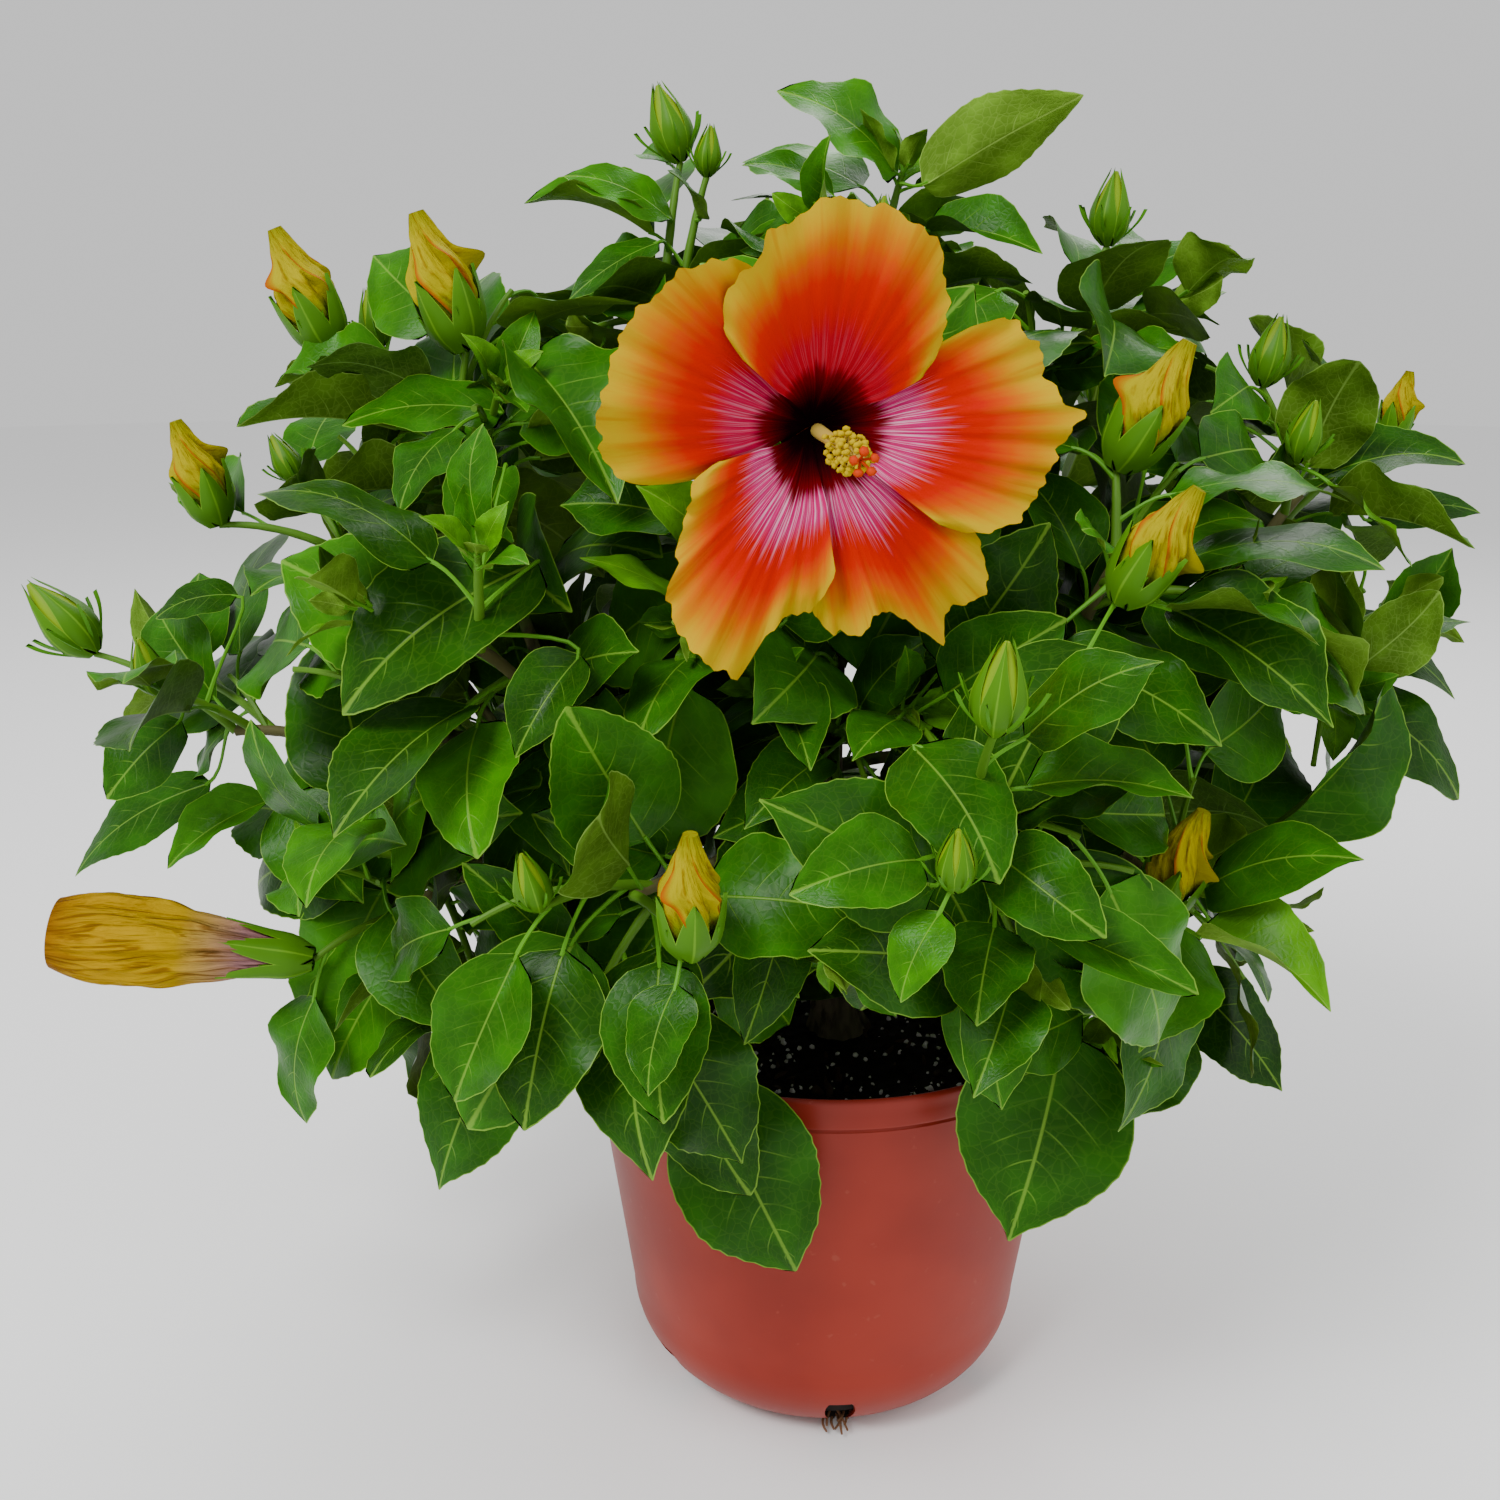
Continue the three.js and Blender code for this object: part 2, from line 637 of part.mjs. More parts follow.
function growMass(m, start) {
  const shoots = MASSES[m][4];
  const main = new Jointed(arch(start, hubs[m], 0.05), TWIG_JOINTS);
  const curves = [main];
  const ends = [];
  shoots.forEach(([kind, base, tip], n) => {
    const root = main.getPoint(1 - n * SHOOT_STEP);
    const curve = new Jointed(arch(root, vec(base), 0.1), TWIG_JOINTS);
    const towards = tip ? vec(tip) : vec(base).addScaledVector(curve.getTangent(1), 10);
    curves.push(curve);
    ends.push({ kind, base: vec(base), tip: towards });
  });
  const twigs = curves.flatMap((curve) => piecesOf(curve, () => SHOOT_TIP, TWIG_JOINTS));
  for (const { kind, base, tip } of ends) {
    twigs.push([base, tip, kind === "leafy" ? 1 : 0.25 * base.distanceTo(tip)]);
  }
  const leaves = [];
  for (const [base, tip, ratio, face] of OUTLINE_LEAVES) {
    const middle = vec(base).lerp(vec(tip), 0.5);
    if (depthInSpace(m, middle) < 0) continue;
    const outward = middle.clone().sub(vec(CROWN_CENTRE)).normalize();
    const facing = vec(face ?? LIGHT).addScaledVector(outward, face ? 0 : 0.4);
    search: for (const share of [1, 0.85, 0.7]) {
      for (const inwards of [0, 0.12, 0.24]) {
        const centre = middle.clone().lerp(hearts[m], inwards);
        const from = vec(base).sub(middle).multiplyScalar(share).add(centre);
        const end = vec(tip).sub(middle).multiplyScalar(share).add(centre);
        const foot = nearestFoot(curves, from);
        const leaf = makeLeaf(foot, from, end, ratio, facing);
        if (foot.distanceTo(from) < LONGEST_STALK && leafFits(m, leaf, leaves, [])) {
          leaf.age = 0.2;
          leaves.push(leaf);
          twigs.push([foot.clone().lerp(leaf.base, 0.4), leaf.base, STALK_RADIUS]);
          break search;
        }
      }
    }
  }
  curves.forEach((curve, t) => growLeaves(m, t, curve, t ? ends[t - 1].kind : "main", leaves, twigs));
  return { main, curves, ends, leaves };
}

// ---- buds and blossom ----------------------------------------------------------------------------

// Radius of each kind of bud along its length, as shares of its length.
const BUD_SHAPES = {
  green: [0.12, 0.33, 0.05],
  yellow: [0.12, 0.26, 0.2, 0.07],
  spent: [0.07, 0.11, 0.16, 0.1],
};
const BUD_SIDES = { green: 4, yellow: 5, spent: 6 };

function budSolid({ kind, base, tip }) {
  const shape = BUD_SHAPES[kind];
  const length = base.distanceTo(tip);
  const steps = shape.length - 1;
  const sunk = base.clone().lerp(tip, -1.5 / length);
  const radius = (t) => length * shape[Math.round(t * steps)];
  return rod(new THREE.LineCurve3(sunk, tip), radius, BUD_SIDES[kind], steps);
}

// The open blossom: five broad overlapping petals round a throat, a calyx behind them and a long
// column in front that carries the stamens.
function bloomSolids(foot) {
  const facing = vec(BLOOM_FACING).normalize();
  const right = new THREE.Vector3().crossVectors(UP, facing).normalize();
  const top = new THREE.Vector3().crossVectors(facing, right);
  const centre = vec(BLOOM_CENTRE);
  const pieces = [];
  for (const [angle, length, width] of PETALS) {
    const turn = degrees(angle);
    const out = right.clone().multiplyScalar(Math.cos(turn)).addScaledVector(top, Math.sin(turn));
    const side = new THREE.Vector3().crossVectors(facing, out);
    const outline = (k, spread) => {
      const bearing = (2 * Math.PI * k) / 12;
      const reach = 0.54 + 0.46 * Math.cos(bearing) * spread;
      return [reach, Math.sin(bearing) * spread * 0.56 * Math.pow(reach, 0.35)];
    };
    const shape = (s, y, raise) => {
      const bowl = 4 + 14 * Math.pow(1 - s, 2) - 10 * s * s + 7 * y;
      const point = centre.clone();
      point.addScaledVector(out, s * length);
      point.addScaledVector(side, y * width);
      point.addScaledVector(facing, raise - bowl);
      return point;
    };
    pieces.push(blade(12, 2, outline, PETAL_THICK, shape));
  }
  const back = centre.clone().addScaledVector(facing, -26);
  const column = centre.clone().addScaledVector(facing, COLUMN_LENGTH - 12);
  const calyx = (t) => [3, 7.5, 10, 8][Math.round(t * 3)];
  const throat = centre.clone().addScaledVector(facing, -6);
  pieces.push(rod(new THREE.LineCurve3(back, throat), calyx, 6, 3));
  const club = (t) => [2.2, 2, 6.5, 6, 3][Math.round(t * 4)];
  pieces.push(rod(new THREE.LineCurve3(back, column), club, 6, 4));
  pieces.push(rod(new THREE.LineCurve3(foot, back.clone().addScaledVector(facing, 3)),
    () => SHOOT_RADIUS, TWIG_SIDES, 1));
  return pieces;
}

// ---- pot and soil --------------------------------------------------------------------------------

// Radius of the pot's outer wall at a height above the rounded bottom corner.
const wallRadius = (z) =>
  BASE_RADIUS + ((RIM_RADIUS - BAND_STEP - BASE_RADIUS) * z) / (POT_HEIGHT - BAND_DEPTH);

// Half section of the pot's outer face set in by a distance: floor, rounded corner and wall.
function potSection(inset, top) {
  const points = [new THREE.Vector2(0, inset)];
  const corner = CORNER_RADIUS - inset;
  const centre = wallRadius(CORNER_RADIUS) - CORNER_RADIUS;
  for (let k = 0; k <= 4; k++) {
    const a = degrees(22.5 * k);
    points.push(new THREE.Vector2(centre + corner * Math.sin(a), CORNER_RADIUS - corner * Math.cos(a)));
  }
  points.push(new THREE.Vector2(wallRadius(top) - inset, top));
  return points;
}

function potGeometry() {
  const outer = potSection(0, POT_HEIGHT - BAND_DEPTH);
  outer.push(new THREE.Vector2(RIM_RADIUS - 0.5, POT_HEIGHT - BAND_DEPTH + 0.6));
  outer.push(new THREE.Vector2(RIM_RADIUS, POT_HEIGHT - 1));
  outer.push(new THREE.Vector2(RIM_RADIUS - 1, POT_HEIGHT));
  const inner = potSection(WALL, POT_HEIGHT - 1).reverse();
  const section = [...outer, ...inner];
  let body = solid(new THREE.LatheGeometry(section, POT_SIDES).rotateX(Math.PI / 2));
  for (let k = 0; k < DRAIN_HOLES; k++) {
    const cutter = new THREE.BoxGeometry(34, DRAIN_WIDTH, DRAIN_HEIGHT);
    const turn = degrees(DRAIN_FIRST + (360 / DRAIN_HOLES) * k);
    cutter.rotateY(degrees(35));
    cutter.translate(62, 0, 9);
    cutter.rotateZ(turn);
    body = body.subtract(solid(cutter));
  }
  return geometryOf(body);
}

function soilGeometry() {
  const section = potSection(WALL + GAP, SOIL_TOP);
  section.push(new THREE.Vector2(0, SOIL_TOP));
  return new THREE.LatheGeometry(section, POT_SIDES).rotateX(Math.PI / 2);
}

// ---- trunk, stems and boughs ----------------------------------------------------------------------

// The trunk leans from its foot to the fork, flares at the root, and is cut flat at the soil.
const trunkRadius = (t, grow) =>
  TRUNK_RADIUS + ROOT_FLARE * Math.pow(1 - t, 4) + FORK_SWELL * t * t + grow;

function trunkRod(grow) {
  const foot = SOIL_TOP + GAP - grow;
  const tall = FORK[2] + grow - foot;
  const geometry = new THREE.CylinderGeometry(1, 1, 1, 10, 5);
  geometry.rotateX(Math.PI / 2);
  const place = geometry.attributes.position;
  for (let i = 0; i < place.count; i++) {
    const t = place.getZ(i) + 0.5;
    const size = trunkRadius(t, grow);
    const x = TRUNK_FOOT[0] + (FORK[0] - TRUNK_FOOT[0]) * t + place.getX(i) * size;
    const y = TRUNK_FOOT[1] + (FORK[1] - TRUNK_FOOT[1]) * t + place.getY(i) * size;
    place.setXYZ(i, x, y, foot + tall * t);
  }
  return geometry;
}

const stemCurves = {};
const limbs = [];

for (const [name, tip, r0, r1, lift] of STEMS) {
  const side = vec([tip[0], tip[1], 0]);
  const from = vec(FORK).addScaledVector(side.normalize(), name === "upright" ? 0 : 4);
  from.z -= name === "upright" ? 2 : 8;
  const curve = arch(from, vec(tip), lift);
  stemCurves[name] = curve;
  limbs.push({ name: "stem_" + name, curve, radius: taper(r0, r1), sides: STEM_SIDES, steps: 5 });
}

const starts = MASSES.map(([name, stem, place], m) => {
  const from = stemCurves[stem].getPoint(place);
  const end = from.clone().lerp(hubs[m], BOUGH_REACH);
  const curve = arch(from, end, 0.1);
  limbs.push({
    name: "bough_" + name,
    curve,
    radius: taper(BOUGH_RADIUS, BOUGH_TIP),
    sides: BOUGH_SIDES,
    steps: 4,
  });
  return end.clone().addScaledVector(curve.getTangent(1), GAP);
});

for (const limb of limbs) {
  limbPieces.push(...piecesOf(limb.curve, limb.radius, 8));
}

// Each limb keeps a gap to the limbs before it, which it is cut back by.
const woodSolids = [{ name: "trunk", body: solid(trunkRod(0)), grown: solid(trunkRod(GAP)) }];
for (const { name, curve, radius, sides, steps } of limbs) {
  let body = solid(rod(curve, radius, sides, steps));
  for (const before of woodSolids) {
    body = body.subtract(before.grown);
  }
  const thicker = (t) => radius(t) + GAP * 1.25;
  woodSolids.push({
    name,
    body: wholeBody(body),
    grown: solid(rod(curve, thicker, sides, steps)),
  });
}

// ---- masses --------------------------------------------------------------------------------------

const grownMasses = MASSES.map((row, m) => growMass(m, starts[m]));

const massSolids = grownMasses.map(({ main, curves, ends, leaves }, m) => {
  const pieces = curves.map((curve, t) =>
    rod(curve, t ? taper(SHOOT_RADIUS, SHOOT_TIP) : taper(TWIG_RADIUS, SHOOT_RADIUS), TWIG_SIDES,
      TWIG_JOINTS));
  for (const leaf of leaves) {
    pieces.push(leafSolid(leaf));
  }
  for (const end of ends) {
    if (end.kind === "open") pieces.push(...bloomSolids(end.base));
    else if (end.kind !== "leafy") pieces.push(budSolid(end));
  }
  let body = wasm.Manifold.union(pieces.map(solid));
  for (const limb of woodSolids) {
    body = body.subtract(limb.grown);
  }
  return { name: MASSES[m][0], body: wholeBody(body) };
});

// ---- the assembly ----------------------------------------------------------------------------------

function material(slot) {
  const [color, roughness] = COLOURS[slot];
  return new THREE.MeshStandardMaterial({ color, roughness, metalness: 0 });
}

function named(name, geometry, slot) {
  const mesh = new THREE.Mesh(geometry, material(slot));
  mesh.name = name;
  return mesh;
}

const group = new THREE.Group();
group.add(named("pot", potGeometry(), "pot"));
group.add(named("soil", soilGeometry(), "soil"));
for (const { name, body } of woodSolids) {
  group.add(named(name, geometryOf(body), "bark"));
}
for (const { name, body } of massSolids) {
  group.add(named("foliage_" + name, geometryOf(body), "foliage"));
}

export default group;
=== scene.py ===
"""A potted hibiscus shrub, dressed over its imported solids: leaves, twigs, buds and blossom grow from the
same named sizes and by the same rule as the solids, and the pot, soil and bark get their finish.
Lengths are in millimetres until a piece is made, which is in metres. +Z is up and the front faces -Y."""

import math
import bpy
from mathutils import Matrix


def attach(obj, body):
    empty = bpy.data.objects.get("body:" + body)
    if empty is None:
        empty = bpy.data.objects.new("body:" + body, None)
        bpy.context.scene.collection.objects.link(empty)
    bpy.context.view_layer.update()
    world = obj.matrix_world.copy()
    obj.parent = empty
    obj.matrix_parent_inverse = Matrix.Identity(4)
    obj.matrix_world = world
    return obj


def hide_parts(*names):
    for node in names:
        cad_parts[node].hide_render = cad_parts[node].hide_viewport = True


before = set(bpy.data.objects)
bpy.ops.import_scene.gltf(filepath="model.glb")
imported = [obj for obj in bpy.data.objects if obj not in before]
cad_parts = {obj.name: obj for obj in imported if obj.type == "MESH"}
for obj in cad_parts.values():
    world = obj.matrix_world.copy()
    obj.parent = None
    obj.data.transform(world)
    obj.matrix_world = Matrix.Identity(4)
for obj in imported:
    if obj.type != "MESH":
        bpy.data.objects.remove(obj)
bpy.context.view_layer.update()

from types import SimpleNamespace

import bpy
import numpy as np

# ---- named sizes, as in the solids ------------------------------------------------------------------

POT_HEIGHT = 179
RIM_RADIUS = 107.5
BASE_RADIUS = 82.5
CORNER_RADIUS = 40
WALL = 2.4
BAND_DEPTH = 12.5
BAND_STEP = 1.6
DRAIN_HOLES = 6
DRAIN_FIRST = -84

SOIL_TOP = 158
FORK = (0, 4, 206)
TRUNK_FOOT = (5, 7)
TRUNK_RADIUS = 8.5
ROOT_FLARE = 6
FORK_SWELL = 1.5
GAP = 0.35

BOUGH_RADIUS = 3.1
BOUGH_TIP = 2.3
BOUGH_REACH = 0.72
TWIG_RADIUS = 2.3
SHOOT_RADIUS = 2.0
SHOOT_TIP = 1.4
STALK_RADIUS = 0.75
SHOOT_STEP = 0.3

LEAF_LENGTH = 84
LEAF_WIDTH = 0.62
LEAF_THICK = 1.6
LEAF_SPACING = 20
LEAF_ARCH = 0.09
LEAF_APART = 0.045
STALK_SHARE = 0.34
LONGEST_STALK = 66
GOLDEN_ANGLE = 137.508

CELL_MARGIN = 0.5
LIMB_MARGIN = 6.5
TWIG_MARGIN = 3.5
STALK_MARGIN = 1.6
STALK_DEPTH = 1.4
ROOM = 55
BLOOM_ROOM = 72
TOP_ROOM = 80
CROWN_CENTRE = np.array([-18.0, 10.0, 300.0])
CROWN_REACH = np.array([288.0, 236.0, 240.0])
LIGHT = np.array([0.0, -0.9, 1.0])
OPEN_X = (-12, 34)
OPEN_BACK = 7
OPEN_SLOPES = (0.54, 0.477)
UNDERCUT = (232, 172, 0.9)

BLOOM_CENTRE = np.array([0.0, -150.0, 431.0])
BLOOM_FACING = np.array([0.26, -0.96, -0.09])
BLOOM_FACING /= np.linalg.norm(BLOOM_FACING)
BLOOM_SPACE = (-24, 84)
COLUMN_LENGTH = 46

# Stems: name, tip, radius at the fork, radius at the tip, rise of the arch.
STEMS = [
    ("left", (-150, -25, 296), 4.6, 3.0, 0.16),
    ("right", (140, 0, 300), 4.6, 3.0, 0.16),
    ("front", (8, -98, 300), 4.2, 2.9, 0.18),
    ("back", (-6, 110, 312), 4.4, 2.9, 0.16),
    ("upright", (4, 0, 400), 4.8, 2.9, 0.0),
]

# Masses: name, stem, where the bough leaves it (0 fork, 1 tip), hub, then the shoots as kind, base of
# the bud or tip of the shoot, tip of the bud.
MASSES = [
    ("left_low", "left", 1.0, (-246, -30, 301), (
        ("green", (-302, -30, 333), (-325, -35, 364)),
        ("green", (-268, -52, 322), (-272, -56, 346)),
        ("leafy", (-285, 10, 315)),
    )),
    ("left_mid", "left", 0.9, (-201, -10, 372), (
        ("yellow", (-249, -20, 385), (-261, -25, 427)),
        ("green", (-222, 0, 400), (-232, 0, 420)),
        ("leafy", (-176, 20, 405)),
    )),
    ("left_upper", "left", 0.72, (-146, -50, 427), (
        ("yellow", (-193, -34, 454), (-210, -40, 499)),
        ("yellow", (-137, -52, 455), (-152, -56, 504)),
        ("green", (-182, -6, 455), (-186, -6, 478)),
        ("leafy", (-118, -86, 444)),
    )),
    ("left_drooping", "left", 0.62, (-166, -76, 240), (
        ("spent", (-197, -98, 229), (-291, -110, 243)),
        ("leafy", (-176, -50, 222)),
        ("leafy", (-130, -104, 214)),
        ("leafy", (-186, -86, 268)),
    )),
    ("centre_left", "left", 0.5, (-118, -136, 360), (
        ("leafy", (-112, -160, 396)),
        ("leafy", (-160, -130, 372)),
        ("green", (-160, -128, 300), (-164, -132, 318)),
    )),
    ("front_left", "front", 0.5, (-66, -150, 278), (
        ("yellow", (-43, -192, 274), (-42, -198, 317)),
        ("green", (-93, -180, 284), (-97, -186, 306)),
        ("leafy", (-84, -150, 232)),
        ("leafy", (-54, -126, 204)),
    )),
    ("front_right", "front", 1.0, (46, -160, 306), (
        ("green", (48, -206, 352), (50, -212, 382)),
        ("green", (38, -208, 304), (38, -214, 326)),
        ("leafy", (66, -162, 262)),
        ("leafy", (6, -170, 272)),
    )),
    ("bloom_spray", "upright", 0.62, (-5, -96, 392), (
        ("open", (0, -122, 428), (10, -190, 425)),
        ("leafy", (-44, -118, 366)),
    )),
    ("right_front", "right", 0.5, (98, -104, 386), (
        ("yellow", (98, -92, 417), (119, -98, 460)),
        ("yellow", (94, -136, 378), (116, -142, 416)),
        ("leafy", (134, -110, 376)),
    )),
    ("right_low", "right", 0.62, (136, -64, 246), (
        ("yellow", (116, -118, 261), (130, -124, 303)),
        ("leafy", (178, -47, 234)),
        ("leafy", (106, -102, 215)),
    )),
    ("right_mid", "right", 1.0, (198, 10, 322), (
        ("leafy", (236, 26, 346)),
        ("leafy", (196, -44, 326)),
        ("leafy", (192, 44, 292)),
    )),
    ("right_upper", "right", 0.86, (188, 0, 398), (
        ("green", (169, 0, 440), (174, -2, 468)),
        ("green", (176, -34, 414), (180, -38, 438)),
        ("green", (209, 20, 416), (214, 20, 436)),
        ("yellow", (230, 26, 416), (235, 26, 445)),
    )),
    ("top_right", "upright", 0.82, (97, 26, 455), (
        ("green", (110, 30, 494), (112, 30, 524)),
        ("leafy", (136, 20, 470)),
        ("leafy", (78, -20, 446)),
    )),
    ("top", "upright", 1.0, (18, 18, 486), (
        ("leafy", (26, 20, 522)),
        ("leafy", (-6, -16, 500)),
    )),
    ("top_left", "upright", 0.9, (-69, 10, 478), (
        ("green", (-63, 20, 526), (-72, 20, 556)),
        ("green", (-52, 14, 520), (-50, 14, 540)),
        ("leafy", (-96, -16, 462)),
    )),
    ("middle", "upright", 0.3, (2, -64, 314), (
        ("leafy", (-24, -92, 336)),
        ("leafy", (30, -96, 330)),
        ("leafy", (4, -92, 262)),
    )),
    ("back_top", "upright", 0.74, (6, 104, 448), (
        ("green", (20, 124, 494), (22, 126, 520)),
        ("leafy", (-40, 120, 478)),
        ("leafy", (54, 116, 470)),
    )),
    ("back_left", "back", 0.86, (-132, 118, 372), (
        ("yellow", (-172, 150, 404), (-196, 166, 446)),
        ("green", (-132, 140, 428), (-134, 142, 452)),
        ("leafy", (-204, 100, 366)),
    )),
    ("back_right", "back", 0.8, (126, 124, 366), (
        ("yellow", (160, 160, 392), (182, 180, 432)),
        ("green", (124, 130, 424), (126, 132, 448)),
        ("leafy", (206, 98, 362)),
    )),
    ("back_middle", "back", 1.0, (-4, 176, 344), (
        ("green", (-16, 214, 378), (-18, 224, 402)),
        ("leafy", (46, 212, 352)),
        ("leafy", (-62, 202, 340)),
    )),
    ("back_low_left", "back", 0.5, (-128, 112, 254), (
        ("leafy", (-196, 112, 262)),
        ("leafy", (-136, 168, 244)),
        ("green", (-170, 50, 236), (-192, 52, 246)),
    )),
    ("back_low_right", "back", 0.42, (132, 104, 248), (
        ("leafy", (160, 104, 262)),
        ("leafy", (130, 164, 240)),
        ("leafy", (150, 52, 234)),
    )),
]

# Leaves that carry the crown's outline and its front: base and tip of the blade, width to length.
OUTLINE_LEAVES = [
    ((-262, -22, 276), (-321, -32, 236), 0.42),
    ((-218, -72, 285), (-258, -82, 259), 0.5),
    ((-258, -55, 312), (-284, -72, 284), 0.8),
    ((-213, -72, 286), (-178, -92, 250), 0.62),
    ((-228, -20, 366), (-277, -24, 352), 0.5),
    ((-202, -34, 356), (-238, -48, 318), 0.6),
    ((-204, 2, 370), (-165, -32, 400), 0.52),
    ((-166, -45, 448), (-213, -45, 441), 0.6),
    ((-120, -70, 434), (-176, -84, 430), 0.5),
    ((-104, -100, 437), (-112, -128, 398), 0.75),
    ((-160, -84, 236), (-195, -94, 176), 0.6),
    ((-179, -65, 245), (-202, -69, 171), 0.62),
    ((-122, -92, 206), (-152, -104, 134), 0.55),
    ((-101, -117, 387), (-164, -145, 339), 0.62),
    ((-72, -140, 366), (-100, -166, 322), 0.6),
    ((-104, -140, 340), (-86, -170, 282), 0.5),
    ((-79, -132, 226), (-40, -140, 180), 0.55),
    ((-60, -120, 214), (-27, -128, 150), 0.5),
    ((-45, -111, 186), (-10, -116, 110), 0.6),
    ((-98, -136, 246), (-142, -154, 300), 0.55),
    ((4, -134, 278), (-14, -152, 216), 0.42),
    ((46, -165, 262), (-6, -190, 276), 0.62),
    ((47, -156, 260), (60, -168, 210), 0.58),
    ((30, -170, 290), (-26, -192, 326), 0.6),
    ((64, -175, 283), (118, -186, 262), 0.4),
    ((26, -170, 338), (52, -202, 304), 0.62),
    ((-22, -128, 370), (22, -164, 352), 0.5),
    ((-58, -104, 400), (-104, -96, 404), 0.7),
    ((75, -115, 356), (131, -137, 330), 0.5),
    ((84, -124, 392), (70, -150, 402), 0.8),
    ((112, -96, 372), (152, -120, 344), 0.6),
    ((89, -104, 209), (71, -119, 128), 0.7),
    ((132, -84, 210), (104, -100, 172), 0.8),
    ((146, -44, 206), (188, -54, 160), 0.55),
    ((134, -88, 244), (178, -66, 272), 0.62),
    ((196, 20, 341), (263, 10, 311), 0.42),
    ((206, 4, 316), (266, 0, 270), 0.5),
    ((240, 30, 336), (262, 30, 372), 0.75),
    ((194, 0, 404), (248, -10, 411), 0.55),
    ((222, 20, 384), (268, 20, 388), 0.4),
    ((176, -20, 392), (150, -60, 398), 0.55),
    ((114, 30, 474), (160, 30, 494), 0.42),
    ((118, 20, 462), (158, 24, 476), 0.4),
    ((104, 10, 458), (58, 0, 486), 0.5),
    ((24, 18, 521), (-24, 8, 551), 0.78),
    ((33, 2, 516), (93, 0, 548), 0.46, (0, 0.9, 0.5)),
    ((35, 8, 500), (79, -12, 490), 0.5),
    ((20, 0, 500), (8, -30, 508), 0.8),
    ((-1, 2, 512), (-37, -4, 523), 0.5),
    ((-66, 10, 504), (-108, 6, 520), 0.5),
    ((-50, 4, 500), (-66, -22, 524), 0.7),
    ((-62, 0, 500), (-112, -16, 468), 0.42),
    ((-40, 4, 498), (-14, -30, 482), 0.6),
]

# ---- vectors, chance and curves ---------------------------------------------------------------------

UP = np.array([0.0, 0.0, 1.0])
SIDEWAYS = np.array([1.0, 0.0, 0.0])


def unit(v):
    """The vectors made one long."""
    return v / np.maximum(np.linalg.norm(v, axis=-1, keepdims=True), 1e-12)


def chance(*keys):
    """A steady number from 0 to 1 for whole-number keys, each mixed into 32 bits by multiplying and
    shifting."""
    h = 20783
    for key in keys:
        h = ((h ^ (key + 40503)) * 0x85EBCA6B) & 0xFFFFFFFF
        h ^= h >> 13
        h = (h * 0xC2B2AE35) & 0xFFFFFFFF
        h ^= h >> 16
    return h / 4294967296


def arch(start, end, lift):
    """A cubic Bezier curve whose two inner points are raised by a share of the distance from start to end."""
    start, end = np.array(start, float), np.array(end, float)
    rise = UP * np.linalg.norm(end - start) * lift
    second = start + (end - start) / 3 + rise
    third = start + (end - start) * 2 / 3 + rise

    def point(t):
        t = np.asarray(t, float)[..., None]
        u = 1 - t
        return u**3 * start + 3 * u * u * t * second + 3 * u * t * t * third + t**3 * end

    return point


def jointed(curve):
    """A line in two straight pieces, between the start, the middle and the end of a curve."""
    first, middle, last = curve(np.array([0.0, 0.5, 1.0]))

    def point(t):
        t = np.asarray(t, float)[..., None]
        early = first + (middle - first) * 2 * t
        late = middle + (last - middle) * (2 * t - 1)
        return np.where(t < 0.5, early, late)

    point.smooth = curve
    return point


def tangent(curve, t):
    """The curve's direction at t, from two points a ten-thousandth to each side of it."""
    return unit(curve(min(t + 1e-4, 1.0)) - curve(max(t - 1e-4, 0.0)))


def length_of(curve):
    """A curve's length, as 200 straight steps."""
    points = curve(np.linspace(0, 1, 201))
    return np.linalg.norm(np.diff(points, axis=0), axis=1).sum()


def turned(v, axis, angle):
    """A vector turned about a unit axis by an angle."""
    across = np.cross(axis, v) * math.sin(angle)
    return v * math.cos(angle) + across + axis * (axis @ v) * (1 - math.cos(angle))


def square_to(along):
    """A direction square to each of some directions, level unless they are steep."""
    return unit(np.cross(along, np.where(np.abs(along[..., 2:]) < 0.9, UP, SIDEWAYS)))


def ripple(points, scale, seed):
    """A smooth unevenness from -1 to 1 in space: the mean of six sine waves whose directions and lengths come
    from a seed, the shortest of them about scale millimetres long."""
    rng = np.random.default_rng(seed)
    total = 0
    for _ in range(6):
        wave = unit(rng.normal(size=3)) * 2 * math.pi / (scale * rng.uniform(1, 2.2))
        total = total + np.sin(points @ wave + rng.uniform(0, 6.28))
    return total / 6


# ---- where a leaf may be ----------------------------------------------------------------------------

HUBS = [np.array(row[3], float) for row in MASSES]
HEARTS = np.array([
    np.mean([row[3], *[p for shoot in row[4] for p in shoot[1:]]], axis=0) for row in MASSES
])
ROOMS = np.array([
    BLOOM_ROOM if row[4][0][0] == "open" else TOP_ROOM if row[0] == "top" else ROOM for row in MASSES
], float)
# Spots on a blade, as shares of its length along it and of its width across it.
MIDDLE = np.array([[0.5, 0.0]])
LEAF_RIM = np.array([(1, 0), (0.7, 0.38), (0.27, 0.5), (0, 0), (0.27, -0.5), (0.7, -0.38)])
ROWS_OF_FIVE = np.array([
    (i / 8, y * 0.5 * math.sin(math.pi * (i / 8) ** 0.8)) for i in range(9) for y in (-1, -0.5, 0, 0.5, 1)
])


def depth_in_space(m, points):
    """How far points are inside a mass's own space: the least distance to the planes where the distances to
    its heart and another's balance, once each heart's room is allowed."""
    apart = np.linalg.norm(HEARTS - HEARTS[m], axis=1)
    apart[m] = 1
    to_all = ((np.asarray(points)[..., None, :] - HEARTS) ** 2).sum(-1) - ROOMS**2
    depth = (to_all - to_all[..., m : m + 1]) / (2 * apart)
    depth[..., m] = np.inf
    return depth.min(-1)


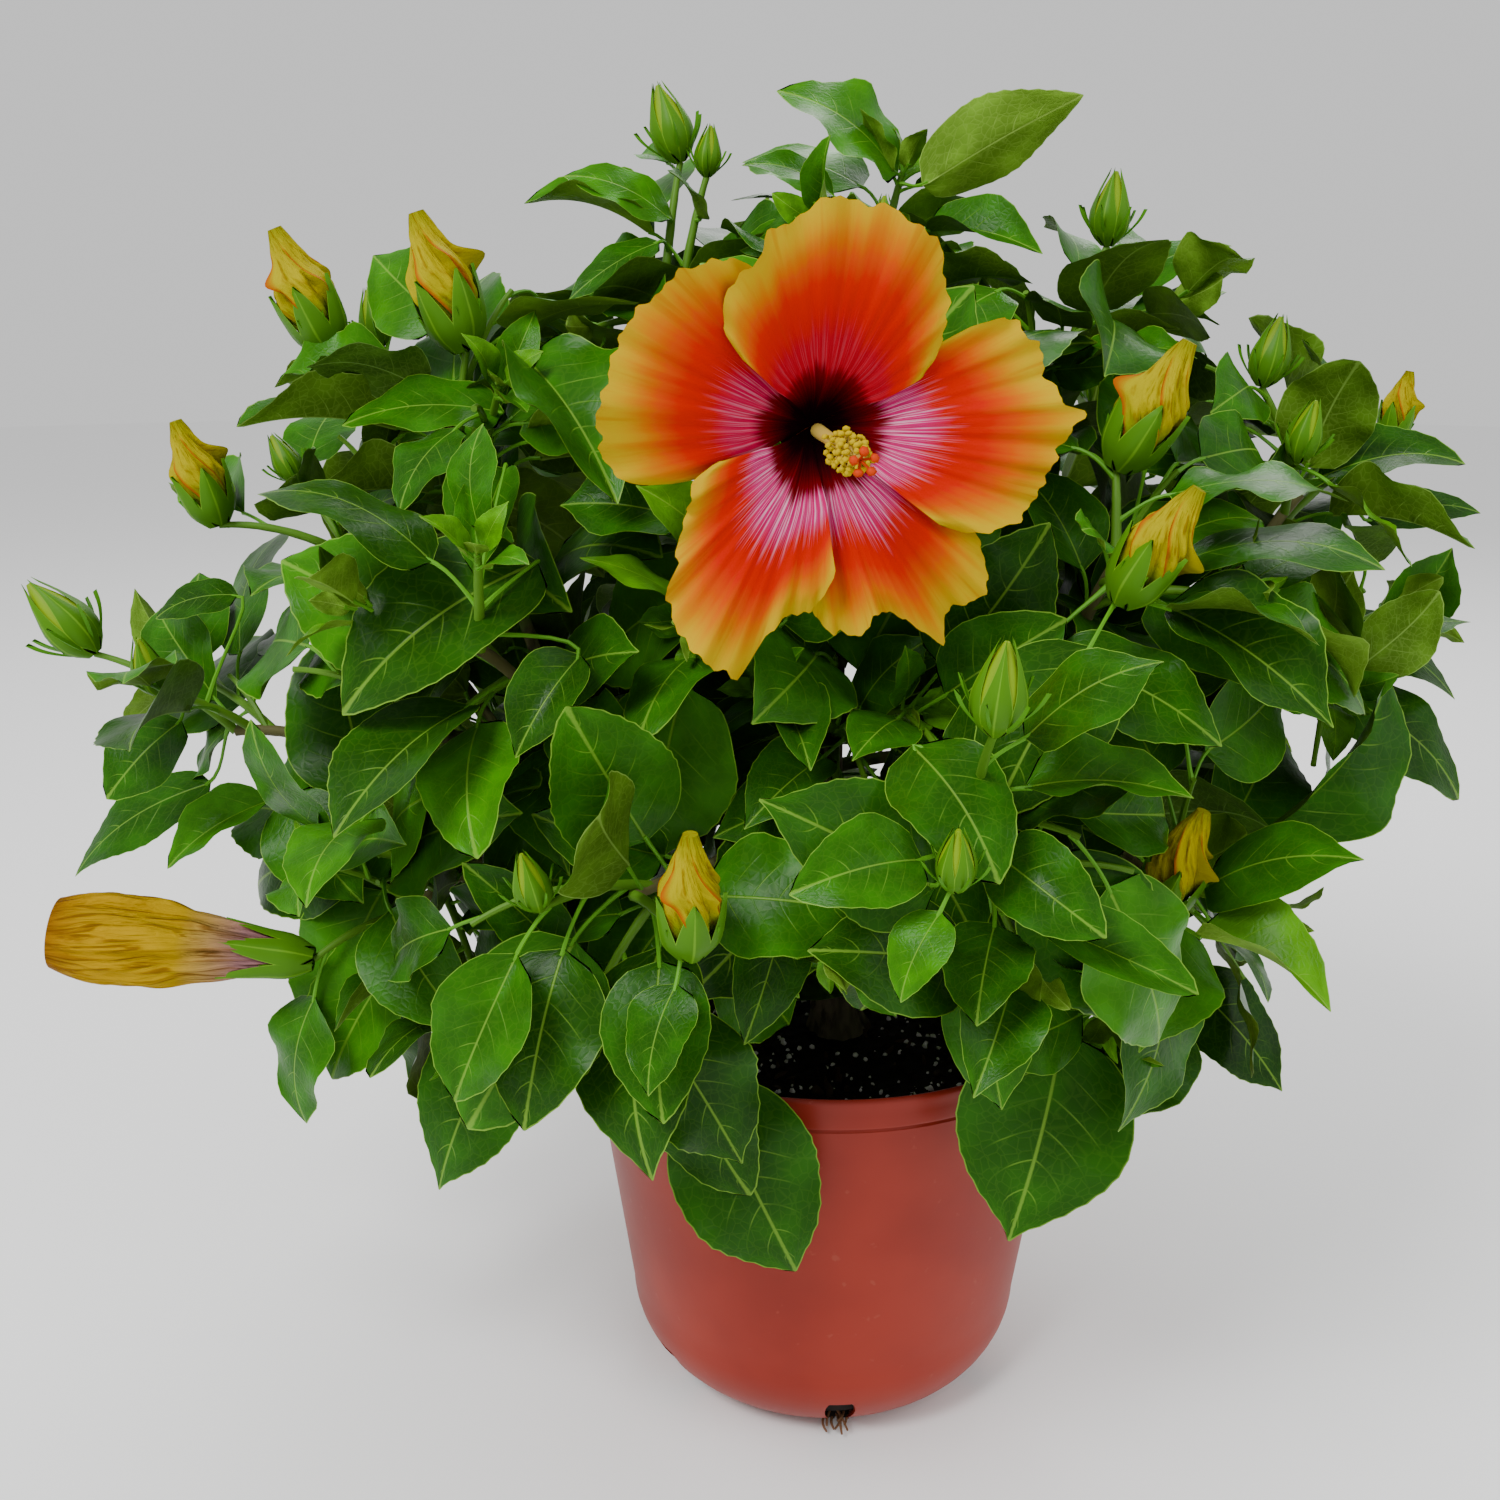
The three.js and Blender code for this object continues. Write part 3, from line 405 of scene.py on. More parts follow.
def pieces_of(curve, radius, steps):
    """A limb's centre line as straight pieces: from, to, radius."""
    points = curve(np.linspace(0, 1, steps + 1))
    return [(points[k], points[k + 1], radius(k / steps)) for k in range(steps)]


def distance_to(pieces, points):
    """The least distance from each point to the skins of some rods."""
    if not len(pieces):
        return np.full(len(points), np.inf)
    start = np.array([p[0] for p in pieces])
    line = np.array([p[1] for p in pieces]) - start
    radius = np.array([p[2] for p in pieces])
    away = points[:, None] - start
    share = np.clip((away * line).sum(-1) / (line**2).sum(-1), 0, 1)
    return (np.linalg.norm(away - share[..., None] * line, axis=-1) - radius).min(1)


def in_crown(point, share=1):
    """Whether a point is inside the rounded outline that the crown keeps to, or a share of it."""
    height, edge, slope = UNDERCUT
    if point[0] > edge + max(0.0, point[2] - height) * slope:
        return False
    return np.linalg.norm((point - CROWN_CENTRE) / CROWN_REACH) < share


def clear_of_bloom(points):
    """Which points leave the open blossom's face free."""
    away = points - BLOOM_CENTRE
    front = away @ BLOOM_FACING
    aside = np.linalg.norm(away - front[:, None] * BLOOM_FACING, axis=1)
    return (front < BLOOM_SPACE[0]) | (aside > BLOOM_SPACE[1])


def clear_of_pot(points):
    """Which points are clear of the pot, of the soil in it and of the ground."""
    x, y, z = points.T
    over = z > POT_HEIGHT - (RIM_RADIUS + y) * OPEN_SLOPES[0]
    under = z < SOIL_TOP + (OPEN_BACK - y) * OPEN_SLOPES[1]
    opened = (x > OPEN_X[0]) & (x < OPEN_X[1]) & (y < OPEN_BACK) & over & under
    return ~opened & ((z > POT_HEIGHT + 3) | ((z > 6) & (np.hypot(x, y) > RIM_RADIUS + 2.5)))


def make_leaf(foot, base, tip, ratio, facing):
    """A leaf: foot of its stalk, base and tip of its blade, and the three directions of the blade."""
    length = np.linalg.norm(tip - base)
    axis = (tip - base) / length
    normal = unit(facing - facing @ axis * axis)
    return SimpleNamespace(foot=foot, base=base, tip=tip, axis=axis, normal=normal, ratio=ratio,
                           across=np.cross(normal, axis), length=length, width=length * ratio)


def stalk_points(leaf, shares):
    """Points of a leaf's stalk at shares of its length."""
    return leaf.foot + (leaf.base - leaf.foot) * np.array(shares)[:, None]


def middle_of(leaf):
    """The point in the middle of a blade."""
    return on_leaf(leaf, MIDDLE)[0]


def on_leaf(leaf, spots, lift=0):
    """Points of a blade at rows of s, from base to tip, and y across, raised by an arch 4s(1-s)."""
    s, y = spots[:, :1], spots[:, 1:]
    height = 4 * s * (1 - s) * LEAF_ARCH * leaf.length + lift
    return leaf.base + leaf.axis * s * leaf.length + leaf.across * y * leaf.width + leaf.normal * height


limb_rods = []


def leaf_fits(m, leaf, others, twigs):
    """Whether a leaf keeps to its mass's space, clear of limbs, pot, blossom, twigs and other leaves."""
    rim = np.vstack([on_leaf(leaf, LEAF_RIM, -LEAF_THICK), on_leaf(leaf, LEAF_RIM)])
    if depth_in_space(m, rim).min() < CELL_MARGIN:
        return False
    leaf.points = on_leaf(leaf, ROWS_OF_FIVE)
    if not clear_of_pot(leaf.points).all() or not clear_of_bloom(leaf.points).all():
        return False
    if distance_to(limb_rods, leaf.points).min() < LIMB_MARGIN:
        return False
    if distance_to(twigs, leaf.points[10:]).min() < TWIG_MARGIN:
        return False
    stalk = stalk_points(leaf, (0.35, 0.7))
    if distance_to(limb_rods, stalk).min() < STALK_MARGIN or depth_in_space(m, stalk).min() < STALK_DEPTH:
        return False
    return far_from_others(leaf, others)


def far_from_others(leaf, others):
    """Whether a leaf and its stalk keep a share of the two lengths from other leaves."""
    leaf.middle = middle_of(leaf)
    here = np.vstack([leaf.points, stalk_points(leaf, (0.5, 0.8))])
    for other in others:
        both = leaf.length + other.length
        apart = LEAF_APART * both
        if np.linalg.norm(leaf.middle - other.middle) > 0.6 * both + apart:
            continue
        if ((here[:, None] - other.points) ** 2).sum(-1).min() < apart * apart:
            return False
    return True


# ---- growing a mass ---------------------------------------------------------------------------------

TURNS = (0, 40, -40, 80, -80, 120, -120, 180)


def grow_leaves(m, t, curve, main, leaves, twigs, fits, spacing=LEAF_SPACING, blade=LEAF_LENGTH, reach=1.0):
    """Leaves round a twig by the golden angle, longest at its foot. A leaf that doesn't fit is turned about
    the twig, then made smaller, else left out."""
    count = max(2, math.floor(length_of(curve) / spacing + 0.5))
    roll = chance(m, t, 1) * 360
    for k in range(count):
        place = (k + 0.75) / count
        age = 0.1 if main else place
        foot = curve(min(place, 1))
        along = tangent(curve, min(place, 1))
        first = square_to(along)
        second = np.cross(first, along)
        outward = unit(foot - CROWN_CENTRE)
        size = blade * (1 - 0.5 * age * age) * (0.82 + 0.3 * chance(m, t, k, 2))
        lean = 0.15 + 0.35 * chance(m, t, k, 3)
        droop = 0.1 + 0.5 * chance(m, t, k, 4) * (1 - 0.6 * age)
        tilt = math.radians(56 * (chance(m, t, k, 5) - 0.5))
        for share, turn in ((s, a) for s in (1, 0.8, 0.62) for a in TURNS):
            around = math.radians(roll + k * GOLDEN_ANGLE + turn)
            away = first * math.cos(around) + second * math.sin(around)
            stalk = unit(away + along * 0.5 + outward * 0.4)
            axis = unit(away + along * 0.25 + outward * lean - UP * droop)
            blank = size * share
            base = foot + stalk * blank * STALK_SHARE
            tip = base + axis * blank
            facing = turned(UP + outward * 1.1, axis, tilt)
            leaf = make_leaf(foot, base, tip, LEAF_WIDTH, facing)
            if in_crown(tip, reach) and fits(m, leaf, leaves, twigs):
                leaf.age = age
                leaf.spray = (m, t)
                leaves.append(leaf)
                twigs.append((leaf.foot + (leaf.base - leaf.foot) * 0.4, leaf.base, STALK_RADIUS))
                break


def nearest_foot(curves, base):
    """The point of some curves, away from their ends, that is nearest to a leaf's base."""
    points = np.vstack([curve(np.arange(1, 20) / 20) for curve in curves])
    return points[np.linalg.norm(points - base, axis=1).argmin()]


def place_outline_leaf(m, row, curves, leaves, twigs):
    """Puts a named leaf on its mass, moved towards the heart or made smaller where it doesn't fit."""
    base, tip, ratio, *face = np.array(row[0], float), np.array(row[1], float), *row[2:]
    middle = (base + tip) / 2
    if depth_in_space(m, middle) < 0:
        return
    facing = np.array(face[0], float) if face else LIGHT + unit(middle - CROWN_CENTRE) * 0.4
    for share in (1, 0.85, 0.7):
        for inwards in (0, 0.12, 0.24):
            centre = middle + (HEARTS[m] - middle) * inwards
            start, end = (base - middle) * share + centre, (tip - middle) * share + centre
            foot = nearest_foot(curves, start)
            leaf = make_leaf(foot, start, end, ratio, facing)
            if np.linalg.norm(foot - start) < LONGEST_STALK and leaf_fits(m, leaf, leaves, []):
                leaf.age = 0.2
                leaf.spray = (m, 0)
                leaves.append(leaf)
                twigs.append((foot + (leaf.base - foot) * 0.4, leaf.base, STALK_RADIUS))
                return


def grow_mass(m, start):
    """A mass's main twig, its shoots, and its leaves."""
    main = jointed(arch(start, HUBS[m], 0.05))
    curves, ends = [main], []
    for n, (kind, base, *rest) in enumerate(MASSES[m][4]):
        curve = jointed(arch(main(1 - n * SHOOT_STEP), base, 0.1))
        base = np.array(base, float)
        tip = np.array(rest[0], float) if rest else base + tangent(curve, 1) * 10
        curves.append(curve)
        ends.append(SimpleNamespace(kind=kind, base=base, tip=tip))
    twigs = [rod for curve in curves for rod in pieces_of(curve, lambda t: SHOOT_TIP, 2)]
    for end in ends:
        size = 1 if end.kind == "leafy" else 0.25 * np.linalg.norm(end.tip - end.base)
        twigs.append((end.base, end.tip, size))
    leaves = []
    for row in OUTLINE_LEAVES:
        place_outline_leaf(m, row, curves, leaves, twigs)
    for t, curve in enumerate(curves):
        grow_leaves(m, t, curve, t == 0, leaves, twigs, leaf_fits)
    return SimpleNamespace(curves=curves, ends=ends, leaves=leaves, twigs=twigs)


def taper(r0, r1):
    """A radius that goes evenly from one to another along a limb."""
    return lambda t: r0 + (r1 - r0) * t


stem_curves, limbs, starts = {}, [], []
for name, tip, r0, r1, lift in STEMS:
    start = np.array(FORK, float) + unit(np.array([tip[0], tip[1], 0.0])) * (0 if name == "upright" else 4)
    start[2] -= 2 if name == "upright" else 8
    stem_curves[name] = arch(start, tip, lift)
    limbs.append(SimpleNamespace(name="stem_" + name, curve=stem_curves[name], radius=taper(r0, r1)))
for m, (name, stem, place, _, _) in enumerate(MASSES):
    start = stem_curves[stem](place)
    end = start + (HUBS[m] - start) * BOUGH_REACH
    curve = arch(start, end, 0.1)
    limbs.append(SimpleNamespace(name="bough_" + name, curve=curve, radius=taper(BOUGH_RADIUS, BOUGH_TIP)))
    starts.append(end + tangent(curve, 1) * GAP)
for limb in limbs:
    limb_rods.extend(pieces_of(limb.curve, limb.radius, 8))
masses = [grow_mass(m, start) for m, start in enumerate(starts)]

# ---- finer growth: more leaves by the same rule, on side twigs, boughs and stems ---------------------

FINE_SPACING = 14
FINE_BLADE = 86
FINE_APART = 0.04
FINE_LEAST = 4.5
FINE_REACH = 0.86
FINE_FLOOR = 190
FINE_LIMB_MARGIN = 4
FINE_TWIG_MARGIN = 2.5
LIMB_LEAF_SPACING = 15
TWIGLET_BLADE = 0.86
TWIGLET_LENGTH = 44
MOST_LEAVES = 900
# Spots before furled blossoms, as centre and radius, where a mass leaves out its own leaves too.
BEFORE_BLOSSOMS = np.array([(-226, -64, 398, 16), (-118, -73, 483, 16), (156, -77, 258, 16)], float)
# Gaps in the crown that the finer leaves leave open: centre and radius.
SKY_GAPS = np.vstack([[
    (-243, 26, 284, 32), (-232, -8, 256, 20), (190, 22, 276, 32), (176, -78, 278, 20),
    (-228, 72, 306, 22), (-204, -20, 418, 24), (82, 72, 461, 24), (-190, -71, 307, 16),
    (-214, 2, 225, 20), (-138, -57, 313, 14), (-174, -121, 247, 22), (40, -150, 238, 22),
    (99, -126, 282, 28), (129, -127, 298, 24), (-224, -14, 418, 18), (-190, 49, 386, 18),
    (-178, -88, 327, 16), (62, 88, 464, 16), (98, 102, 456, 18), (-234, -39, 258, 18),
    (177, -57, 264, 16), (158, -99, 307, 16), (-231, 10, 312, 18), (139, 35, 441, 16),
], BEFORE_BLOSSOMS])
crowd = SimpleNamespace(count=0, middle=np.zeros((MOST_LEAVES, 3)), length=np.zeros(MOST_LEAVES),
                        points=np.zeros((MOST_LEAVES, len(ROWS_OF_FIVE), 3)))


def within_any(balls, point):
    """Whether a point is inside one of some balls, given as centre and radius."""
    return (np.linalg.norm(balls[:, :3] - point, axis=1) < balls[:, 3]).any()


def join_crowd(leaf):
    """Adds a leaf to the arrays of all the leaves, which later leaves keep clear of."""
    crowd.middle[crowd.count] = middle_of(leaf)
    crowd.length[crowd.count] = leaf.length
    crowd.points[crowd.count] = leaf.points
    crowd.count += 1


def fits_finely(m, leaf, leaves, twigs):
    """As leaf_fits, but against the leaves of all masses, with less room between them, and off the gaps."""
    leaf.points = on_leaf(leaf, ROWS_OF_FIVE)
    if leaf.points[:, 2].min() < FINE_FLOOR or not clear_of_bloom(leaf.points).all():
        return False
    if not clear_of_pot(leaf.points).all():
        return False
    n = crowd.count
    middle = middle_of(leaf)
    if within_any(SKY_GAPS, middle):
        return False
    both = leaf.length + crowd.length[:n]
    near = np.linalg.norm(crowd.middle[:n] - middle, axis=1) < 0.6 * both + 6
    apart = np.maximum(FINE_APART * both[near], FINE_LEAST)
    here = np.vstack([leaf.points, stalk_points(leaf, (0.5, 0.8))])
    gaps = here[None, :, None] - crowd.points[:n][near][:, None]
    if ((gaps**2).sum(-1).min((1, 2), initial=np.inf) < apart**2).any():
        return False
    if distance_to(limb_rods, leaf.points[5:]).min() < FINE_LIMB_MARGIN:
        return False
    return distance_to(twigs, leaf.points[10:]).min() > FINE_TWIG_MARGIN


def grow_finely(m, t, curve, twigs, spacing, blade):
    """The finer leaves of a twig or a limb, each of which joins the crowd."""
    leaves = []
    grow_leaves(m, t, curve, True, leaves, twigs, fits_finely, spacing, blade, FINE_REACH)
    for leaf in leaves:
        join_crowd(leaf)
        leaf.age = 0.3 + 0.5 * chance(m, t, 7)
    return leaves


def twiglets(m, t, curve):
    """Short side twigs of a twig: they leave it by the golden angle and turn up and outwards."""
    made = []
    for n, place in enumerate((0.5, 0.85)):
        root, along = curve(place), tangent(curve, place)
        first = square_to(along)
        around = math.radians(360 * chance(m, t, n, 11) + n * GOLDEN_ANGLE)
        away = first * math.cos(around) + np.cross(first, along) * math.sin(around)
        heading = unit(away + along * 0.7 + UP * 0.35 + unit(root - CROWN_CENTRE) * 0.3)
        end = root + heading * TWIGLET_LENGTH * (0.7 + 0.6 * chance(m, t, n, 12))
        path = arch(root, end, 0.12)
        clear = clear_of_pot(end[None]).all() and clear_of_bloom(end[None]).all()
        clear = clear and in_crown(end, FINE_REACH)
        if clear and distance_to(limb_rods, path(np.array([0.4, 0.7, 1.0]))).min() > FINE_LIMB_MARGIN:
            made.append(path)
    return made


for mass in masses:
    mass.leaves = [leaf for leaf in mass.leaves if not within_any(BEFORE_BLOSSOMS, middle_of(leaf))]
    for leaf in mass.leaves:
        join_crowd(leaf)
fine_twigs = []
for m, mass in enumerate(masses):
    for t, curve in enumerate(mass.curves):
        mass.leaves += grow_finely(m, 20 + t, curve, mass.twigs, FINE_SPACING, FINE_BLADE)
        for n, path in enumerate(twiglets(m, t, curve)):
            found = grow_finely(m, 40 + 4 * t + n, path, mass.twigs, FINE_SPACING, FINE_BLADE * TWIGLET_BLADE)
            if found:
                fine_twigs.append(path)
                mass.twigs += pieces_of(path, lambda t: SHOOT_TIP, 3)
                mass.leaves += found
limb_leaves = []
for n, limb in enumerate(limbs):
    limb_leaves += grow_finely(n, 80, limb.curve, [], LIMB_LEAF_SPACING, FINE_BLADE)

# ---- making pieces ----------------------------------------------------------------------------------

# A shape is points, triangles, two UV numbers for each corner, and the finish of each triangle.

MM = 0.001


def grid_template(rows, cols, wraps=False):
    """Triangles of a grid of rows by cols points and their corners as (row, column), each cell cut in two.
    Where it wraps, the last column is followed by the first."""
    across = cols if wraps else cols - 1
    r, c = np.meshgrid(np.arange(rows - 1), np.arange(across), indexing="ij")
    r, c = r.ravel(), c.ravel()
    spots = np.stack([np.stack([r, c], -1), np.stack([r, c + 1], -1),
                      np.stack([r + 1, c + 1], -1), np.stack([r + 1, c], -1)], 1)
    corners = spots[:, [0, 1, 2, 0, 2, 3]].reshape(-1, 3, 2)
    index = corners[..., 0] * cols + corners[..., 1] % cols
    return index, corners


def spread(index, corners_uv, finish, count, stride):
    """One template of triangles repeated for count items whose points lie stride apart."""
    faces = (index[None] + (np.arange(count) * stride)[:, None, None]).reshape(-1, 3)
    finishes = np.broadcast_to(finish, (count, len(index))).reshape(-1)
    return faces, np.tile(corners_uv.reshape(-1, 2), (count, 1)), finishes


def joined(*shapes):
    """Several shapes as one."""
    starts = np.cumsum([0] + [len(s.points) for s in shapes[:-1]])
    return SimpleNamespace(
        points=np.vstack([s.points for s in shapes]),
        faces=np.vstack([s.faces + k for s, k in zip(shapes, starts)]),
        uv=np.vstack([s.uv for s in shapes]),
        finish=np.concatenate([s.finish for s in shapes]),
    )


def frames_along(paths):
    """Two directions across each path (N, n, 3), the first carried on from step to step."""
    along = unit(np.gradient(paths, axis=1))
    side = square_to(along[:, 0])
    sides = []
    for k in range(paths.shape[1]):
        side = unit(side - (side * along[:, k]).sum(-1, keepdims=True) * along[:, k])
        sides.append(side)
    first = np.stack(sides, 1)
    return first, np.cross(along, first)


def turned_between(angle, first, second):
    """Directions at angles from a first one towards a second one square to it."""
    return np.cos(angle)[..., None] * first + np.sin(angle)[..., None] * second


def closed_skin(skin, near, far, finish):
    """Round skins of points (N, rows, sides, 3) as one shape, each closed at its first and last row by a fan
    round a point (N, 1, 3). A corner's own two numbers are its share round the skin and along it."""
    count, rows, sides = skin.shape[:3]
    points = np.concatenate([skin.reshape(count, -1, 3), near, far], 1)
    index, spots = grid_template(rows, sides, wraps=True)
    uv = np.stack([spots[..., 1] / sides, spots[..., 0] / (rows - 1)], -1)
    k = np.arange(sides)
    last = (rows - 1) * sides
    caps = np.vstack([
        np.stack([np.full(sides, rows * sides), (k + 1) % sides, k], -1),
        np.stack([np.full(sides, rows * sides + 1), last + k, last + (k + 1) % sides], -1),
    ])
    cap_uv = np.zeros((2 * sides, 3, 2))
    cap_uv[:, :, 0] = np.tile(k / sides, 2)[:, None]
    cap_uv[sides:, :, 1] = 1
    index, uv = np.concatenate([index, caps]), np.concatenate([uv, cap_uv])
    faces, uv, finishes = spread(index, uv, finish, count, points.shape[1])
    return SimpleNamespace(points=points.reshape(-1, 3), faces=faces, uv=uv, finish=finishes)


def tubes(paths, radii, sides, finish=0):
    """Closed round skins along paths (N, n, 3): each point stands off its path by the radius (N, n) or
    (N, n, sides), and each end closes on the path's own end point."""
    paths = np.asarray(paths, float)
    count, steps = paths.shape[:2]
    radii = np.asarray(radii, float)
    if radii.ndim == 2:
        radii = radii[..., None]
    first, second = frames_along(paths)
    turn = np.arange(sides) * 2 * math.pi / sides
    ring = turned_between(turn, first[:, :, None], second[:, :, None])
    skin = paths[:, :, None] + np.broadcast_to(radii, (count, steps, sides))[..., None] * ring
    return closed_skin(skin, paths[:, :1], paths[:, -1:], finish)


def sheets(top, under, finish=0, under_finish=None):
    """Thin closed blades: an upper and a lower grid (N, R, C, 3) that share the points of their rim. Rows
    times columns face the way that (row step) x (column step) points."""
    count, rows, cols = top.shape[:3]
    low = np.arange(rows * cols).reshape(rows, cols)
    low[1:-1, 1:-1] = rows * cols + np.arange((rows - 2) * (cols - 2)).reshape(rows - 2, cols - 2)
    points = np.concatenate([top.reshape(count, -1, 3), under[:, 1:-1, 1:-1].reshape(count, -1, 3)], 1)
    index, spots = grid_template(rows, cols)
    faces = np.concatenate([index[:, ::-1], low.ravel()[index]])
    uv = np.concatenate([spots[:, ::-1], spots]).astype(float)
    uv = np.stack([uv[..., 1] / (cols - 1), uv[..., 0] / (rows - 1)], -1)
    upper = np.broadcast_to(np.asarray(finish).reshape(-1, 1), (count, len(index)))
    below = finish if under_finish is None else under_finish
    lower = np.broadcast_to(np.asarray(below).reshape(-1, 1), (count, len(index)))
    faces, uv, finishes = spread(faces, uv, np.concatenate([upper, lower], 1), count, points.shape[1])
    return SimpleNamespace(points=points.reshape(-1, 3), faces=faces, uv=uv, finish=finishes)


def make_piece(name, shape, materials, nodes, crease=50, tiles=None):
    """The shape as an object in metres. Its UV map "grain" holds each corner's own two numbers, and where
    tiles are given, "OFBake" holds the same numbers in one tile of a square for each finish."""
    mesh = bpy.data.meshes.new(name)
    corners = shape.faces.astype(np.int32).ravel()
    mesh.vertices.add(len(shape.points))
    mesh.vertices.foreach_set("co", (shape.points * MM).astype(np.float32).ravel())
    mesh.loops.add(len(corners))
    mesh.loops.foreach_set("vertex_index", corners)
    mesh.polygons.add(len(shape.faces))
    mesh.polygons.foreach_set("loop_start", np.arange(0, len(corners), 3, dtype=np.int32))
    mesh.polygons.foreach_set("material_index", shape.finish.astype(np.int32))
    mesh.polygons.foreach_set("use_smooth", np.ones(len(shape.faces), bool))
    mesh.uv_layers.new(name="grain").uv.foreach_set("vector", shape.uv.astype(np.float32).ravel())
    if tiles:
        tile = np.repeat(shape.finish, 3)
        spot = 0.03 + 0.94 * shape.uv
        own = np.stack([(tile % tiles + spot[:, 0]) / tiles, (tile // tiles + spot[:, 1]) / tiles], -1)
        mesh.uv_layers.new(name="OFBake").uv.foreach_set("vector", own.astype(np.float32).ravel())
    for material in materials:
        mesh.materials.append(material)
    mesh.update(calc_edges=True)
    mesh.set_sharp_from_angle(angle=math.radians(crease))
    piece = bpy.data.objects.new(name, mesh)
    bpy.context.scene.collection.objects.link(piece)
    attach(piece, "root")
    if nodes:
        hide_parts(*nodes)
    return piece


# ---- finishes ---------------------------------------------------------------------------------------


def new_material(name, colour, roughness, specular):
    """A plain finish of a colour, a roughness and a strength of its shine."""
    material = bpy.data.materials.new(name)
    material.use_nodes = True
    shader = material.node_tree.nodes["Principled BSDF"]
    shader.inputs["Base Color"].default_value = (*colour, 1)
    shader.inputs["Roughness"].default_value = roughness
    shader.inputs["Specular IOR Level"].default_value = specular
    return material


def add_node(material, kind, values=(), **settings):
    """A node of a material, its settings, and its inputs: a value is set and a socket is linked."""
    node = material.node_tree.nodes.new(kind)
    for key, value in settings.items():
        setattr(node, key, value)
    for key, value in dict(values).items():
        if isinstance(value, bpy.types.NodeSocket):
            material.node_tree.links.new(value, node.inputs[key])
        else:
            node.inputs[key].default_value = value
    return node


def maths(material, operation, *values, clamp=False):
    """One sum of numbers and sockets."""
    node = add_node(material, "ShaderNodeMath", dict(enumerate(values)), operation=operation, use_clamp=clamp)
    return node.outputs[0]


def fade(material, value, start, end, low=0.0, high=1.0):
    """A smooth step of a value, from low at start to high at end."""
    node = add_node(material, "ShaderNodeMapRange", {"Value": value, "From Min": start, "From Max": end,
                    "To Min": low, "To Max": high}, interpolation_type="SMOOTHSTEP")
    return node.outputs["Result"]


def blend(material, share, first, second):
    """One colour over another by a share."""
    node = add_node(material, "ShaderNodeMix", data_type="RGBA")
    for socket, value in ((node.inputs[0], share), (node.inputs[6], first), (node.inputs[7], second)):
        if isinstance(value, bpy.types.NodeSocket):
            material.node_tree.links.new(value, socket)
        else:
            socket.default_value = (*value, 1) if isinstance(value, tuple) else value
    return node.outputs[2]


def ramp(material, share, stops):
    """A colour that runs through stops of (place, colour)."""
    node = add_node(material, "ShaderNodeValToRGB", {"Fac": share})
    marks = node.color_ramp.elements
    while len(marks) < len(stops):
        marks.new(0.5)
    for mark, (place, colour) in zip(marks, stops):
        mark.position = place
        mark.color = (*colour, 1)
    return node.outputs["Color"]


def noise(material, spot, detail, stretch=None, scale=1.0, distortion=0.0):
    """Cloudy noise at a spot, which may be stretched first by three factors."""
    if stretch:
        spot = add_node(material, "ShaderNodeMapping", {"Vector": spot, "Scale": stretch}).outputs[0]
    return add_node(material, "ShaderNodeTexNoise", {"Vector": spot, "Scale": scale, "Detail": detail,
                    "Distortion": distortion}).outputs["Fac"]


def from_middle(material, across):
    """How far a share across is from the middle: 0 there and 1 at both edges."""
    return maths(material, "ABSOLUTE", maths(material, "MULTIPLY_ADD", across, 2.0, -1.0))


def paint(material, colour):
    """Links a colour to the finish's base colour."""
    shader = material.node_tree.nodes["Principled BSDF"]
    material.node_tree.links.new(colour, shader.inputs["Base Color"])


def raise_by(material, height, strength, distance):
    """Makes a height show as a bump."""
    values = {"Height": height, "Strength": strength, "Distance": distance}
    node = add_node(material, "ShaderNodeBump", values)
    shader = material.node_tree.nodes["Principled BSDF"]
    material.node_tree.links.new(node.outputs["Normal"], shader.inputs["Normal"])


def grain(material):
    """The piece's own two numbers: across or around, and along."""
    uv = add_node(material, "ShaderNodeUVMap", uv_map="grain")
    parts = add_node(material, "ShaderNodeSeparateXYZ", {0: uv.outputs["UV"]})
    return uv.outputs["UV"], parts.outputs[0], parts.outputs[1]


VEIN_STEP = 0.145
VEIN_SLANT = 0.27


